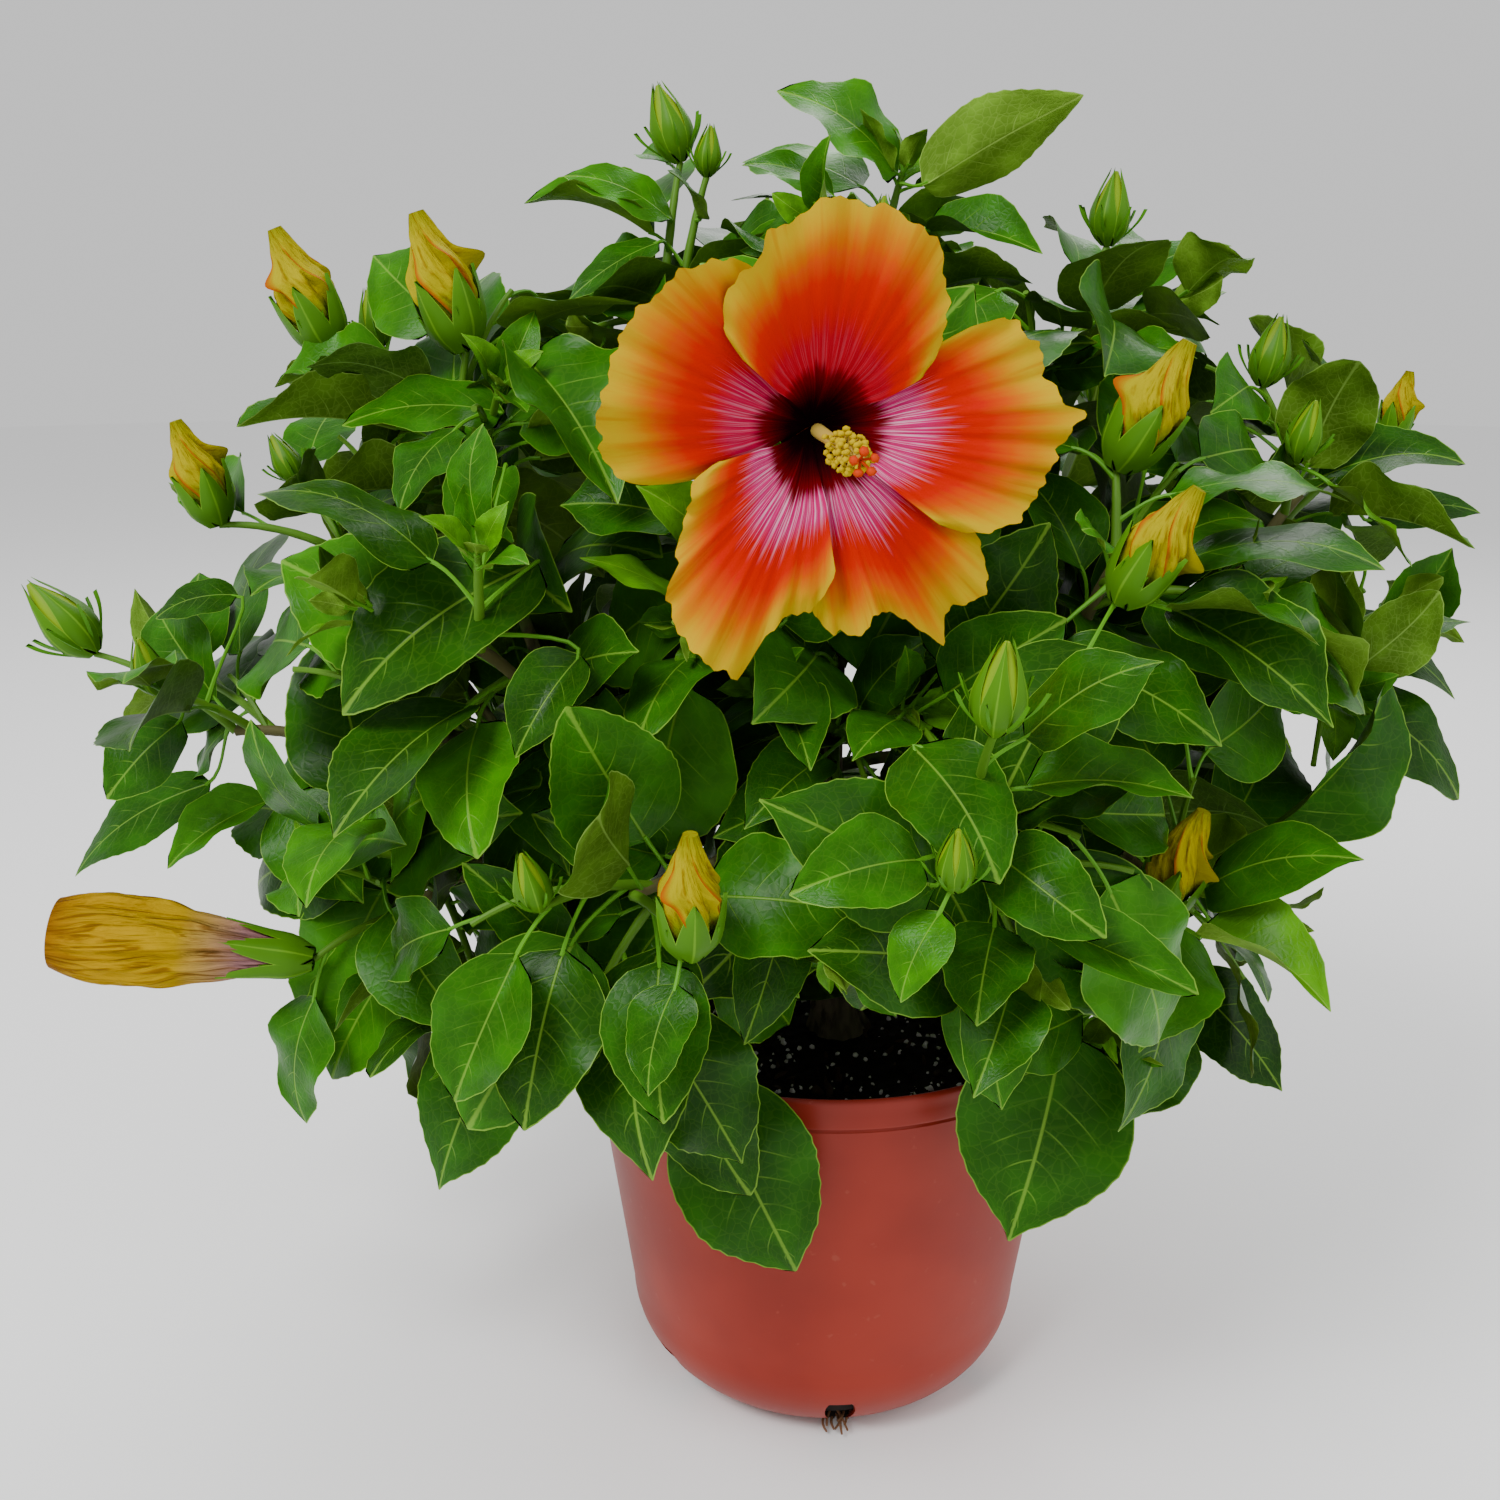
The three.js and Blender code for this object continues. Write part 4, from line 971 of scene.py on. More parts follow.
def leaf_material(name, colour, vein, roughness, net=0.10):
    """A blade's skin: pale midrib, side veins that slant forward from it, a fine net, and a pale rim. The
    rim's line keeps its width, as the distance from the edge is taken times the blade's breadth there."""
    material = new_material(name, colour, roughness, 0.10)
    uv, u, v = grain(material)
    aside = from_middle(material, u)
    breadth = maths(material, "SINE", maths(material, "MULTIPLY", maths(material, "POWER", v, 0.68), math.pi))
    drift = noise(material, uv, 1.0, (3.0, 4.0, 1))
    midrib = fade(material, maths(material, "MULTIPLY", aside, breadth), 0.008, 0.028, 1.0, 0.0)
    bent = maths(material, "MULTIPLY", maths(material, "POWER", aside, 1.3), -VEIN_SLANT)
    phase = maths(material, "DIVIDE", maths(material, "ADD", bent, v), VEIN_STEP)
    off = maths(material, "PINGPONG", phase, 0.5)
    side = fade(material, off, 0.012, 0.045, 1.0, 0.0)
    side = maths(material, "MULTIPLY", side, fade(material, aside, 0.25, 0.9, 0.7, 0.0))
    side = maths(material, "MULTIPLY", side, fade(material, drift, 0.42, 0.6, 0.25, 1.0))
    stretched = add_node(material, "ShaderNodeMapping", {"Vector": uv, "Scale": (13, 20, 1)})
    cells = add_node(material, "ShaderNodeTexVoronoi", {"Vector": stretched.outputs[0], "Scale": 1.0},
                     feature="DISTANCE_TO_EDGE")
    mesh = fade(material, cells.outputs["Distance"], 0.0, 0.09, net, 0.0)
    edge = maths(material, "MULTIPLY", maths(material, "SUBTRACT", 1.0, aside), breadth)
    rim = fade(material, edge, 0.010, 0.021, 1.0, 0.0)
    lines = maths(material, "MAXIMUM", maths(material, "MAXIMUM", midrib, side), mesh)
    lines = maths(material, "MAXIMUM", lines, maths(material, "MULTIPLY", rim, 1.25))
    patch = fade(material, noise(material, uv, 2.0, (2.2, 3.1, 1)), 0.35, 0.7)
    ground = blend(material, patch, tuple(c * 0.6 for c in colour), colour)
    paint(material, blend(material, maths(material, "MULTIPLY", lines, 0.5, clamp=True), ground, vein))
    hollow = maths(material, "MULTIPLY", maths(material, "MAXIMUM", midrib, side), -1.0)
    puff = maths(material, "ADD", maths(material, "MINIMUM", cells.outputs["Distance"], 0.25), hollow)
    raise_by(material, puff, 0.25, 0.0008)
    return material


# Shades of the upper side from old to young.
SHADES = [(0.010, 0.052, 0.002), (0.013, 0.078, 0.0), (0.017, 0.108, 0.0),
          (0.025, 0.147, 0.0), (0.039, 0.205, 0.0), (0.086, 0.300, 0.0)]
PALE_VEIN = (0.22, 0.42, 0.04)
leaf_materials = [
    leaf_material(f"leaf_top_{k}", colour, PALE_VEIN, 0.32) for k, colour in enumerate(SHADES)
] + [
    leaf_material("leaf_underside_old", (0.050, 0.125, 0.008), (0.20, 0.36, 0.07), 0.6, 0.3),
    leaf_material("leaf_underside", (0.085, 0.190, 0.010), (0.26, 0.44, 0.08), 0.6, 0.3),
    leaf_material("leaf_underside_young", (0.15, 0.31, 0.02), (0.32, 0.52, 0.09), 0.6, 0.3),
]
UNDERSIDE = len(SHADES)


# ---- leaves -----------------------------------------------------------------------------------------


BROADER = 1.12


def egg(s, pointed):
    """Half a blade's width, as a share of its widest, from base to tip: a sine to a power that grows towards
    the tip by as much as the tip is pointed."""
    s = np.clip(s, 0, 1)
    return 0.015 + 0.985 * np.sin(math.pi * s**0.72) ** (0.66 + pointed * s**4)


def blades(leaves, rows, cols, seed):
    """Leaf blades. At s along and c across, a blade is the egg-shaped outline, notched into forward teeth on
    every second row past a quarter; raised by the arch, folded up along the midrib, waved at its rim, curled
    down towards its tip, turned about its axis, and puffed up between the veins. It ends where its leaf
    does."""
    rng = np.random.default_rng(seed)

    def column(values):
        return np.array(values, float).reshape(len(leaves), 1, 1, -1)

    base, axis, across, normal = (column([getattr(leaf, key) for leaf in leaves])
                                  for key in ("base", "axis", "across", "normal"))
    length = column([leaf.length for leaf in leaves])[..., 0]
    width = column([leaf.width for leaf in leaves])[..., 0]

    def dice(low, high):
        return rng.uniform(low, high, (len(leaves), 1, 1))

    s = np.linspace(0, 1, rows)[None, :, None]
    c = np.linspace(-1, 1, cols)[None, None, :]
    toothed = np.clip((s - 0.22) * 6, 0, 1) * np.clip((0.99 - s) * 12, 0, 1)
    zigzag = np.where(np.arange(rows) % 2, 1, -1)[None, :, None] * toothed
    half = width * BROADER / 2 * egg(s, dice(-0.08, 0.7)) * (1 + dice(0.002, 0.014) * zigzag)
    x = length * (s + 0.004 * zigzag * c**4)
    fold = (dice(0, 1) ** 2.4 * 1.05 - 0.08) * (1 - 0.4 * s)
    y = c * half * np.cos(fold)
    up = length * 4 * s * (1 - s) * LEAF_ARCH + np.abs(c) * half * np.sin(fold)
    side = 0.25 * np.sign(c)
    up = up + half * dice(0.05, 0.2) * c**2 * np.sin(2 * math.pi * (dice(1.3, 2.4) * s + dice(0, 1) + side))
    up = up + length * dice(-0.05, 0.16) * (s - s**3)
    phase = (s - VEIN_SLANT * np.abs(c)) / VEIN_STEP
    between = np.abs((phase % 1) * 2 - 1)
    up = up - 0.007 * length * between * np.sin(math.pi * np.abs(c)) * np.sin(math.pi * s)
    up = up - 0.008 * length * np.exp(-((c / 0.14) ** 2)) * (1 - s)
    twist = dice(-0.3, 0.3) * s
    y, up = y * np.cos(twist) - up * np.sin(twist) * 0.4, up + y * np.sin(twist)
    sideways = length * dice(-0.12, 0.12) * (s - s**2)
    top = base + axis * x[..., None] + across * (y + sideways)[..., None] + normal * up[..., None]
    thick = 0.45 + 1.0 * np.exp(-((c / 0.1) ** 2)) * np.sqrt(1 - s)
    under = top - normal * thick[..., None]
    shade = np.array([leaf.shade for leaf in leaves])
    young = UNDERSIDE + np.clip(shade // 2, 0, 2)
    return sheets(top, under, shade, young)


def stalks(leaves):
    """Leaf stalks: a cubic Bezier from the twig to a little way into the midrib, thicker at both ends."""
    foot, base, axis = (np.array([getattr(leaf, key) for leaf in leaves])[:, None]
                        for key in ("foot", "base", "axis"))
    far = np.linalg.norm(base - foot, axis=-1, keepdims=True)
    t = np.linspace(0, 1, 7)[None, :, None]
    lift = foot + (base - foot) * 0.4 + UP * 0.06 * far
    near = base - axis * 0.25 * far
    end = base + axis * 2.5
    path = (1 - t) ** 3 * foot + 3 * (1 - t) ** 2 * t * lift + 3 * (1 - t) * t * t * near + t**3 * end
    radius = 0.68 + 0.6 * (1 - t[..., 0]) ** 6 + 0.2 * t[..., 0] ** 4
    return tubes(path, np.broadcast_to(radius, path.shape[:2]), 6)


def shade_of(leaf):
    """Which green a leaf has: by its spray and lighter where it is young, which are its own greens, and
    lighter high on the crown, which is painted light from above.
    """
    m, t = leaf.spray
    tone = 0.4 + 1.8 * chance(m, t, 31) + 2.6 * chance(m, t, round(leaf.length * 10), 32)
    # Painted light: the higher a leaf sits on the crown, the lighter its green, as if lit from above.
    tone += 2.2 * max(0.0, leaf.age - 0.45) + 0.9 * (leaf.base[2] - 300) / 240
    return int(np.clip(tone, 0, 5))


def tip_leaves(m, n, end):
    """Small young leaves round the growing tip of a shoot, by the golden angle, half folded."""
    along = unit(end.tip - end.base)
    first = square_to(along)
    made = []
    for k in range(5):
        around = math.radians(k * GOLDEN_ANGLE + 360 * chance(m, n, 51))
        away = first * math.cos(around) + np.cross(first, along) * math.sin(around)
        size = 15 + 4.5 * (4 - k) * (0.6 + 0.8 * chance(m, n, k, 52))
        heading = unit(along * (0.5 + 0.22 * k) + away * 0.8)
        foot = end.base - along * (8 - 2 * k)
        base = foot + heading * size * 0.22
        leaf = make_leaf(foot, base, base + heading * size, 0.5, unit(along - away * 0.6))
        leaf.age, leaf.shade = 0.9, 5 if k > 1 else 4
        made.append(leaf)
    return made


for m, mass in enumerate(masses):
    for leaf in mass.leaves:
        leaf.shade = shade_of(leaf)
    mass.young = []
    for n, end in enumerate(mass.ends):
        if end.kind == "leafy":
            mass.young += tip_leaves(m, n, end)
# Painted shade: the leaves on the stems and boughs, inside the crown, take one green darker.
for leaf in limb_leaves:
    leaf.shade = max(0, shade_of(leaf) - 1)

# Leaves longer than this get the finer grid. Each grid is rows along and columns across a blade.
LONG_LEAF = 62
LONG_GRID = (25, 9)
SHORT_GRID = (17, 7)
STEM_OF = [row[1] for row in MASSES]
for group in ("left", "right", "front", "upright", "back"):
    inside = [m for m, stem in enumerate(STEM_OF) if stem == group]
    whole, small = [], []
    for m in inside:
        for leaf in masses[m].leaves:
            (whole if leaf.length > LONG_LEAF else small).append(leaf)
        small += masses[m].young
    small += [leaf for leaf in limb_leaves if limbs[leaf.spray[0]].name in
              ["stem_" + group] + ["bough_" + MASSES[m][0] for m in inside]]
    shape = joined(blades(whole, *LONG_GRID, len(whole)), blades(small, *SHORT_GRID, len(small)))
    nodes = ["foliage_" + MASSES[m][0] for m in inside]
    make_piece("leaves_" + group, shape, leaf_materials, nodes, crease=70, tiles=3)

# ---- twigs and stalks -------------------------------------------------------------------------------

green_twig = new_material("green_twig", (0.075, 0.19, 0.010), 0.5, 0.2)
brown_twig = new_material("brown_twig", (0.10, 0.095, 0.030), 0.65, 0.2)
stalk_green = new_material("leaf_stalk", (0.085, 0.28, 0.008), 0.5, 0.2)


TWIG_STEPS = 14


def twig_paths(curves):
    """Points along twigs, on the smooth curve where the rule has a line in two pieces."""
    t = np.linspace(0, 1, TWIG_STEPS)
    return np.array([getattr(curve, "smooth", curve)(t) for curve in curves])


def twig_shape():
    """The twigs: the masses' main ones, their shoots and the side twigs, each swollen at four knots."""
    mains = twig_paths([mass.curves[0] for mass in masses])
    shoots = twig_paths([curve for mass in masses for curve in mass.curves[1:]])
    fine = twig_paths(fine_twigs)
    t = np.linspace(0, 1, TWIG_STEPS)
    knots = 0.14 * np.cos(2 * math.pi * t * 4) ** 8
    return joined(
        tubes(mains, np.tile(TWIG_RADIUS - 0.2 * t + knots, (len(mains), 1)), 10, 1),
        tubes(shoots, np.tile(SHOOT_RADIUS - 0.75 * t + knots, (len(shoots), 1)), 8, 0),
        tubes(fine, np.tile(1.5 - 0.5 * t + knots, (len(fine), 1)), 7, 0),
    )


make_piece("twigs", twig_shape(), [green_twig, brown_twig], [])
every_leaf = [leaf for mass in masses for leaf in mass.leaves + mass.young] + limb_leaves
make_piece("leaf_stalks", stalks(every_leaf), [stalk_green], [])

# ---- buds -------------------------------------------------------------------------------------------


def lathes(starts, axes, heights, radii, sides, finish=0, phase=0):
    """Round closed skins about straight axes: each row of points stands at a height (N, rows) on its axis,
    off it by a radius (N, rows, 1 or sides), and turned by its phase. The rows may turn back inside."""
    starts, axes = np.atleast_2d(starts), unit(np.atleast_2d(axes))
    count, rows = heights.shape
    first = square_to(axes)
    second = np.cross(axes, first)
    centre = starts[:, None] + axes[:, None] * heights[..., None]
    turn = np.arange(sides) * 2 * math.pi / sides + np.broadcast_to(phase, (count, rows))[..., None]
    ring = turned_between(turn, first[:, None, None], second[:, None, None])
    radii = np.broadcast_to(radii, (count, rows, sides))
    skin = centre[:, :, None] + radii[..., None] * ring
    return closed_skin(skin, centre[:, :1], centre[:, -1:], finish)


def lobes(starts, axes, lengths, profile, count, flare, finish, cut=0.45, turn=0.0, wide=1.12, thick=0.6):
    """Pointed lobes round an axis, as of a calyx: at t along and c across, each lies at the angle of its
    middle plus c times a half width that shrinks to a point past the cut, off the axis by the profile's share
    of the length, keeled along its middle, with its tip bent out by the flare."""
    starts, axes = np.atleast_2d(starts), unit(np.atleast_2d(axes))
    lengths = np.asarray(lengths, float)
    many = len(starts)
    first = square_to(axes)
    second = np.cross(axes, first)
    t = np.linspace(0, 1, 12)[:, None]
    c = np.linspace(1, -1, 5)[None, :]
    shrink = np.clip((1 - t) / (1 - cut), 0.02, 1) ** 0.8
    middle = (np.arange(count) * 2 * math.pi / count)[None, :] + turn
    middle = middle + np.arange(many)[:, None] * 0.7
    angle = middle[..., None, None] + c * shrink * wide * math.pi / count
    keel = 1 + 0.07 * (1 - np.abs(c)) - 0.04 * np.abs(c)
    radius = profile(t) * keel + flare * np.clip(t - 0.6, 0, 1) ** 1.5
    radius = lengths[:, None, None, None] * radius[None, None]
    height = lengths[:, None, None, None] * (t + 0 * c)[None, None]

    def place(off):
        out = turned_between(angle, first[:, None, None, None], second[:, None, None, None])
        return (starts[:, None, None, None] + axes[:, None, None, None] * height[..., None]
                + out * (radius - off)[..., None]).reshape(many * count, len(t), c.shape[1], 3)

    return sheets(place(0.0), place(thick), finish)


def profile_of(*marks):
    """A smooth line through (place, radius) marks, eased between them."""
    places, values = np.array(marks).T

    def value(t):
        k = np.clip(np.searchsorted(places, t, side="right") - 1, 0, len(places) - 2)
        share = np.clip((t - places[k]) / (places[k + 1] - places[k]), 0, 1)
        slope = np.gradient(values, places)
        h = places[k + 1] - places[k]
        return ((2 * share**3 - 3 * share**2 + 1) * values[k]
                + (share**3 - 2 * share**2 + share) * h * slope[k]
                + (3 * share**2 - 2 * share**3) * values[k + 1]
                + (share**3 - share**2) * h * slope[k + 1])

    return value


GREEN_BUD = profile_of((0, 0.08), (0.12, 0.2), (0.36, 0.27), (0.68, 0.19), (1, 0.03))
FURLED = profile_of((0, 0.08), (0.2, 0.17), (0.42, 0.215), (0.55, 0.20), (0.66, 0.15), (0.84, 0.10),
                    (1, 0.055))
CALYX = profile_of((0, 0.17), (0.2, 0.33), (0.6, 0.43), (1, 0.44))
SPENT = profile_of((0, 0.05), (0.15, 0.08), (0.4, 0.125), (0.65, 0.165), (0.88, 0.17), (1, 0.14))
SPENT_CALYX = profile_of((0, 0.13), (0.2, 0.23), (0.5, 0.27), (0.8, 0.31), (1, 0.33))

bract_green = new_material("bract_green", (0.055, 0.20, 0.002), 0.5, 0.15)
bud_core = new_material("bud_core", (0.17, 0.29, 0.002), 0.5, 0.15)


def calyx_material(name, colour, rib):
    """Green with pale ribs: a rib down the middle of each lobe and at its two edges."""
    material = new_material(name, colour, 0.45, 0.15)
    _, u, v = grain(material)
    aside = from_middle(material, u)
    line = maths(material, "MAXIMUM", fade(material, aside, 0.03, 0.10, 0.4, 0.0),
                 fade(material, aside, 0.93, 0.99, 0.0, 0.6))
    tip = fade(material, v, 0.3, 1.0, 0.0, 0.4)
    shade = blend(material, tip, tuple(c * 0.7 for c in colour), colour)
    paint(material, blend(material, line, shade, rib))
    return material


calyx_ribbed = calyx_material("calyx_ribbed", (0.075, 0.235, 0.001), (0.20, 0.42, 0.02))


def furled_material():
    """Golden petals rolled round one another: a rust line where each edge lies, fine creases, green below
    and at the tip."""
    material = new_material("furled_petals", (0.33, 0.28, 0.0), 0.65, 0.03)
    uv, u, v = grain(material)
    roll = maths(material, "FRACT", maths(material, "MULTIPLY", u, 5.0))
    seam = fade(material, roll, 0.0, 0.14, 0.85, 0.0)
    seam = maths(material, "MULTIPLY", seam, fade(material, v, 0.95, 0.7))
    streak = noise(material, uv, 3.0, (26, 4.5, 1))
    crease = fade(material, streak, 0.53, 0.68, 0.0, 0.7)
    gold = ramp(material, v, [(0.25, (0.17, 0.24, 0.0)), (0.42, (0.33, 0.28, 0.0)), (0.8, (0.36, 0.30, 0.0)),
                              (1.0, (0.22, 0.22, 0.0))])
    lined = blend(material, crease, gold, (0.17, 0.085, 0.0))
    paint(material, blend(material, seam, lined, (0.34, 0.035, 0.0)))
    raise_by(material, streak, 0.9, 0.002)
    return material


def spent_material():
    """A closed, drying blossom: ochre with brown creases, mauve towards the calyx, brown at its open end."""
    material = new_material("spent_petals", (0.40, 0.25, 0.0), 0.65, 0.05)
    uv, _, v = grain(material)
    streak = noise(material, uv, 5.0, (42, 4.5, 1), distortion=0.9)
    crease = fade(material, streak, 0.48, 0.64, 0.0, 0.75)
    ground = ramp(material, v, [(0.0, (0.24, 0.09, 0.12)), (0.24, (0.27, 0.13, 0.13)),
                                (0.36, (0.38, 0.23, 0.06)), (0.46, (0.40, 0.25, 0.0)),
                                (0.78, (0.38, 0.22, 0.0)), (0.9, (0.24, 0.10, 0.0)),
                                (1.0, (0.06, 0.022, 0.001))])
    paint(material, blend(material, crease, ground, (0.13, 0.045, 0.0)))
    raise_by(material, streak, 1.0, 0.003)
    return material


def ends_of(kind):
    """The ends of all the shoots of a kind."""
    return [end for mass in masses for end in mass.ends if end.kind == kind]


def laid_out(ends):
    """Bases, directions and lengths of some buds, as arrays."""
    base = np.array([end.base for end in ends])
    axis = np.array([end.tip - end.base for end in ends])
    return base, unit(axis), np.linalg.norm(axis, axis=1)


BRACTS = 7
LOBES = 5


def bracts(base, axis, length, share=0.5, out=0.34, finish=1):
    """Narrow pointed bracts that leave the foot of a bud, bow outwards and turn up again."""
    bow = profile_of((0, 0.12), (0.35, 0.34 + out * 0.4), (0.75, 0.44 + out), (1, 0.46 + out * 1.25))
    return lobes(base, axis, length * share, bow, BRACTS, 0.0, finish,
                 cut=0.1, turn=0.35, wide=0.3, thick=0.45)


def green_buds():
    """Closed buds: a core, the five lobes of the calyx that lie on it, and bracts."""
    base, axis, length = laid_out(ends_of("green"))
    t = np.linspace(0, 1, 14)
    core = np.tile((GREEN_BUD(t) * 0.93)[None, :, None], (len(base), 1, 1)) * length[:, None, None]
    return joined(
        lathes(base, axis, t * 0.96 * length[:, None], core, 16, 2),
        lobes(base, axis, length, GREEN_BUD, LOBES, 0.14, 0, cut=0.35, wide=1.02),
        bracts(base, axis, length),
    )


WIND = 0.32


def rolled(length, profile, seed, deep, sides=60, rows=44, start=0.08, folds=(5, 8, 11, 17, 26), gaping=1.0):
    """Petals rolled up: the profile, with five steps round it, and creases that slant across them. Three of
    the steps gape below the tip, as lips that stand out by the share gaping. The rows turn up the axis, and
    the steps with them."""
    rng = np.random.default_rng(seed)
    t = np.linspace(0, 1, rows)[:, None]
    turn = (np.arange(sides) / sides)[None, :]
    within = 5 * turn % 1
    seam = (5 * turn).astype(int)
    skins = []
    for size in length:
        crease = sum(np.sin(2 * math.pi * (n * turn + rng.uniform(-3, 3) * t + rng.uniform(0, 1))
                            + 1.5 * np.sin(9 * t + n)) / n**0.5 for n in folds) / 1.7
        place, gape = rng.uniform(0.48, 0.66, 5), gaping * rng.permutation([0, 0, 0.45, 0.75, 1.0])
        lip = gape[seam] * np.exp(-(((t - place[seam]) / 0.085) ** 2)) * np.exp(-within / 0.22)
        swell = np.sin(math.pi * t) ** 0.5
        shape = profile(t) * (1 + deep * (0.30 * (0.5 - within) + 0.20 * crease) * swell) + 0.14 * deep * lip
        skins.append(size * shape)
    heights = start * length[:, None] + t[:, 0] * (1 - start) * length[:, None]
    return heights, np.array(skins), -2 * math.pi * WIND * t[:, 0]


def furled_blossoms():
    """Yellow blossoms that are still rolled up, in a calyx and bracts."""
    base, axis, length = laid_out(ends_of("yellow"))
    heights, skins, phase = rolled(length, FURLED, 5, 1.0)
    return joined(
        lathes(base, axis, heights, skins, skins.shape[2], 2, phase),
        lobes(base, axis, length * 0.56, CALYX, LOBES, 0.05, 0, cut=0.3),
        bracts(base, axis, length, share=0.32, out=0.22),
    )


def spent_blossom():
    """The closed blossom and its calyx. Its skin turns back inside at the open end."""
    base, axis, length = laid_out(ends_of("spent"))
    heights, skins, phase = rolled(length, SPENT, 11, 0.75, 80, 60, 0.02, (5, 8, 13, 21, 31), 0.1)
    inner = np.linspace(1, 0.86, 6)[None, :] * length[:, None]
    inside = skins[:, -1:] * np.linspace(0.94, 0.3, 6)[None, :, None]
    heights, skins = np.hstack([heights, inner]), np.concatenate([skins, inside], 1)
    phase = np.append(phase, np.full(6, phase[-1])) * 0.3
    return joined(
        lathes(base, axis, heights, skins, skins.shape[2], 3, phase),
        lobes(base, axis, length * 0.36, SPENT_CALYX, LOBES, 0.06, 0, cut=0.3),
        bracts(base, axis, length, share=0.2, out=-0.02),
    )


BUD_FINISHES = [calyx_ribbed, bract_green, bud_core]
make_piece("green_buds", green_buds(), BUD_FINISHES, [], crease=60, tiles=2)
make_piece("furled_blossoms", furled_blossoms(), [calyx_ribbed, bract_green, furled_material()],
           [], crease=60, tiles=2)
make_piece("spent_blossom", spent_blossom(), [*BUD_FINISHES, spent_material()],
           [], crease=60, tiles=2)

# ---- the open blossom -------------------------------------------------------------------------------

# Petals: pallor of the halo, lift of the clockwise and the other side, and the rim as angle and reach.
PETALS = [
    (0, 3.0, 3.0, [
        (31, 36), (36, 41), (41, 47), (48, 51), (49, 55), (56, 60), (60, 63), (65, 67), (71, 68), (78, 71),
        (85, 72), (92, 73), (99, 70), (105, 66), (110, 68), (113, 64), (120, 60), (129, 56), (136, 47),
        (139, 37),
    ]),
    (1, -3.0, -2.5, [
        (108, 48), (119, 62), (127, 68), (133, 70), (141, 71), (147, 73), (152, 75), (156, 73), (162, 73),
        (173, 76), (181, 73), (186, 70), (191, 66), (194, 58), (196, 51), (198, 42),
    ]),
    (2, 1.5, 3.0, [
        (191, 36), (194, 43), (198, 47), (203, 50), (210, 55), (213, 60), (217, 61), (220, 69), (224, 73),
        (231, 78), (237, 80), (242, 79), (245, 80), (248, 82), (250, 73), (252, 64), (255, 60), (266, 55),
        (269, 51), (273, 41),
    ]),
    (2, -3.0, -3.0, [
        (264, 46), (267, 57), (270, 61), (273, 64), (278, 66), (282, 65), (285, 61), (290, 60), (295, 66),
        (297, 72), (301, 80), (304, 74), (310, 71), (315, 75), (320, 72), (324, 67), (328, 59), (334, 50),
    ]),
    (2, 2.5, -2.0, [
        (-37, 48), (-34, 55), (-28, 62), (-24, 67), (-19, 70), (-14, 73), (-9, 73), (-5, 75), (-1, 76),
        (3, 76), (5, 81), (7, 80), (9, 74), (16, 73), (22, 73), (28, 69), (32, 69), (35, 65), (38, 58),
        (40, 46),
    ]),
]
PETAL_REACH = 80.0
THROAT_REACH = 62.0
bloom_right = unit(np.cross(UP, BLOOM_FACING))
bloom_top = np.cross(BLOOM_FACING, bloom_right)


def petal(k, clockwise, other, rim):
    """A petal as a fan: at t out from the throat and c across, the point lies at the angle between the rim's
    two ends that c gives. Its distance is t times a reach that goes from an even one at the throat to the
    rim's own. It is bowled like a funnel, lifted at each side as it laps its neighbours, ruffled towards the
    rim and ribbed along its veins."""
    rng = np.random.default_rng(40 + k)
    t = np.linspace(0, 1, 38)[:, None]
    c = np.linspace(-1, 1, 89)[None, :]
    turns, reaches = np.array(rim, float).T
    middle, half = (turns[0] + turns[-1]) / 2, (turns[-1] - turns[0]) / 2
    reach = np.interp(middle + c * half, turns, reaches)
    frill = sum(np.sin(n * c + rng.uniform(0, 6.28)) for n in (11, 23, 41, 67))
    reach = reach * (1 + 0.007 * frill)
    narrow = 0.74 + 0.26 * np.clip(t / 0.4, 0, 1) ** 0.8
    angle = np.radians(middle + c * half * narrow)
    far = t * (THROAT_REACH * (1 - t) + reach * t)
    s = far / PETAL_REACH
    bowl = 5 + 15 * (1 - s) ** 2 - 9 * s * s + 9 * np.exp(-((s / 0.14) ** 2))
    lift = (clockwise * (1 - c) + other * (1 + c)) / 2 * np.clip(s / 0.3, 0, 1)
    ruffle = 2.4 * np.sin(6.5 * c + rng.uniform(0, 6.28)) + 1.5 * np.sin(14 * c + rng.uniform(0, 6.28))
    ruffle = t**4 * (ruffle + 1.0 * np.sin(29 * c + rng.uniform(0, 6.28)))
    rib = (0.3 * np.sin(58 * c + 3 * t) + 0.25 * np.sin(23 * c + 1.3 * k)) * t * (1.15 - t)
    curl = -9 * np.clip(t - 0.88, 0, 1) * (1 + np.sin(8 * c + k))
    height = lift - bowl + ruffle + rib + curl
    out = turned_between(angle, bloom_right, bloom_top)
    return BLOOM_CENTRE + out * far[..., None] + BLOOM_FACING * height[..., None]


def petals():
    """The five petals as thin blades, each with the finish of its halo and one for all their backs."""
    tops = np.array([petal(k, *row[1:]) for k, row in enumerate(PETALS)])
    pale = np.array([row[0] for row in PETALS])
    return sheets(tops, tops - BLOOM_FACING * 0.5, pale, 3)


# Colours of a petal by the share of its reach: in the throat, and from the halo to the rim.
THROAT_BANDS = [(0.0, (0.003, 0.0, 0.001)), (0.14, (0.008, 0.0, 0.001)), (0.22, (0.045, 0.0, 0.001)),
                (0.29, (0.12, 0.0, 0.003))]
RIM_BANDS = [(0.55, (0.42, 0.001, 0.0)), (0.7, (0.47, 0.008, 0.0)), (0.80, (0.50, 0.060, 0.0)),
             (0.88, (0.48, 0.145, 0.0)), (0.96, (0.47, 0.26, 0.0)), (1.0, (0.46, 0.30, 0.0))]


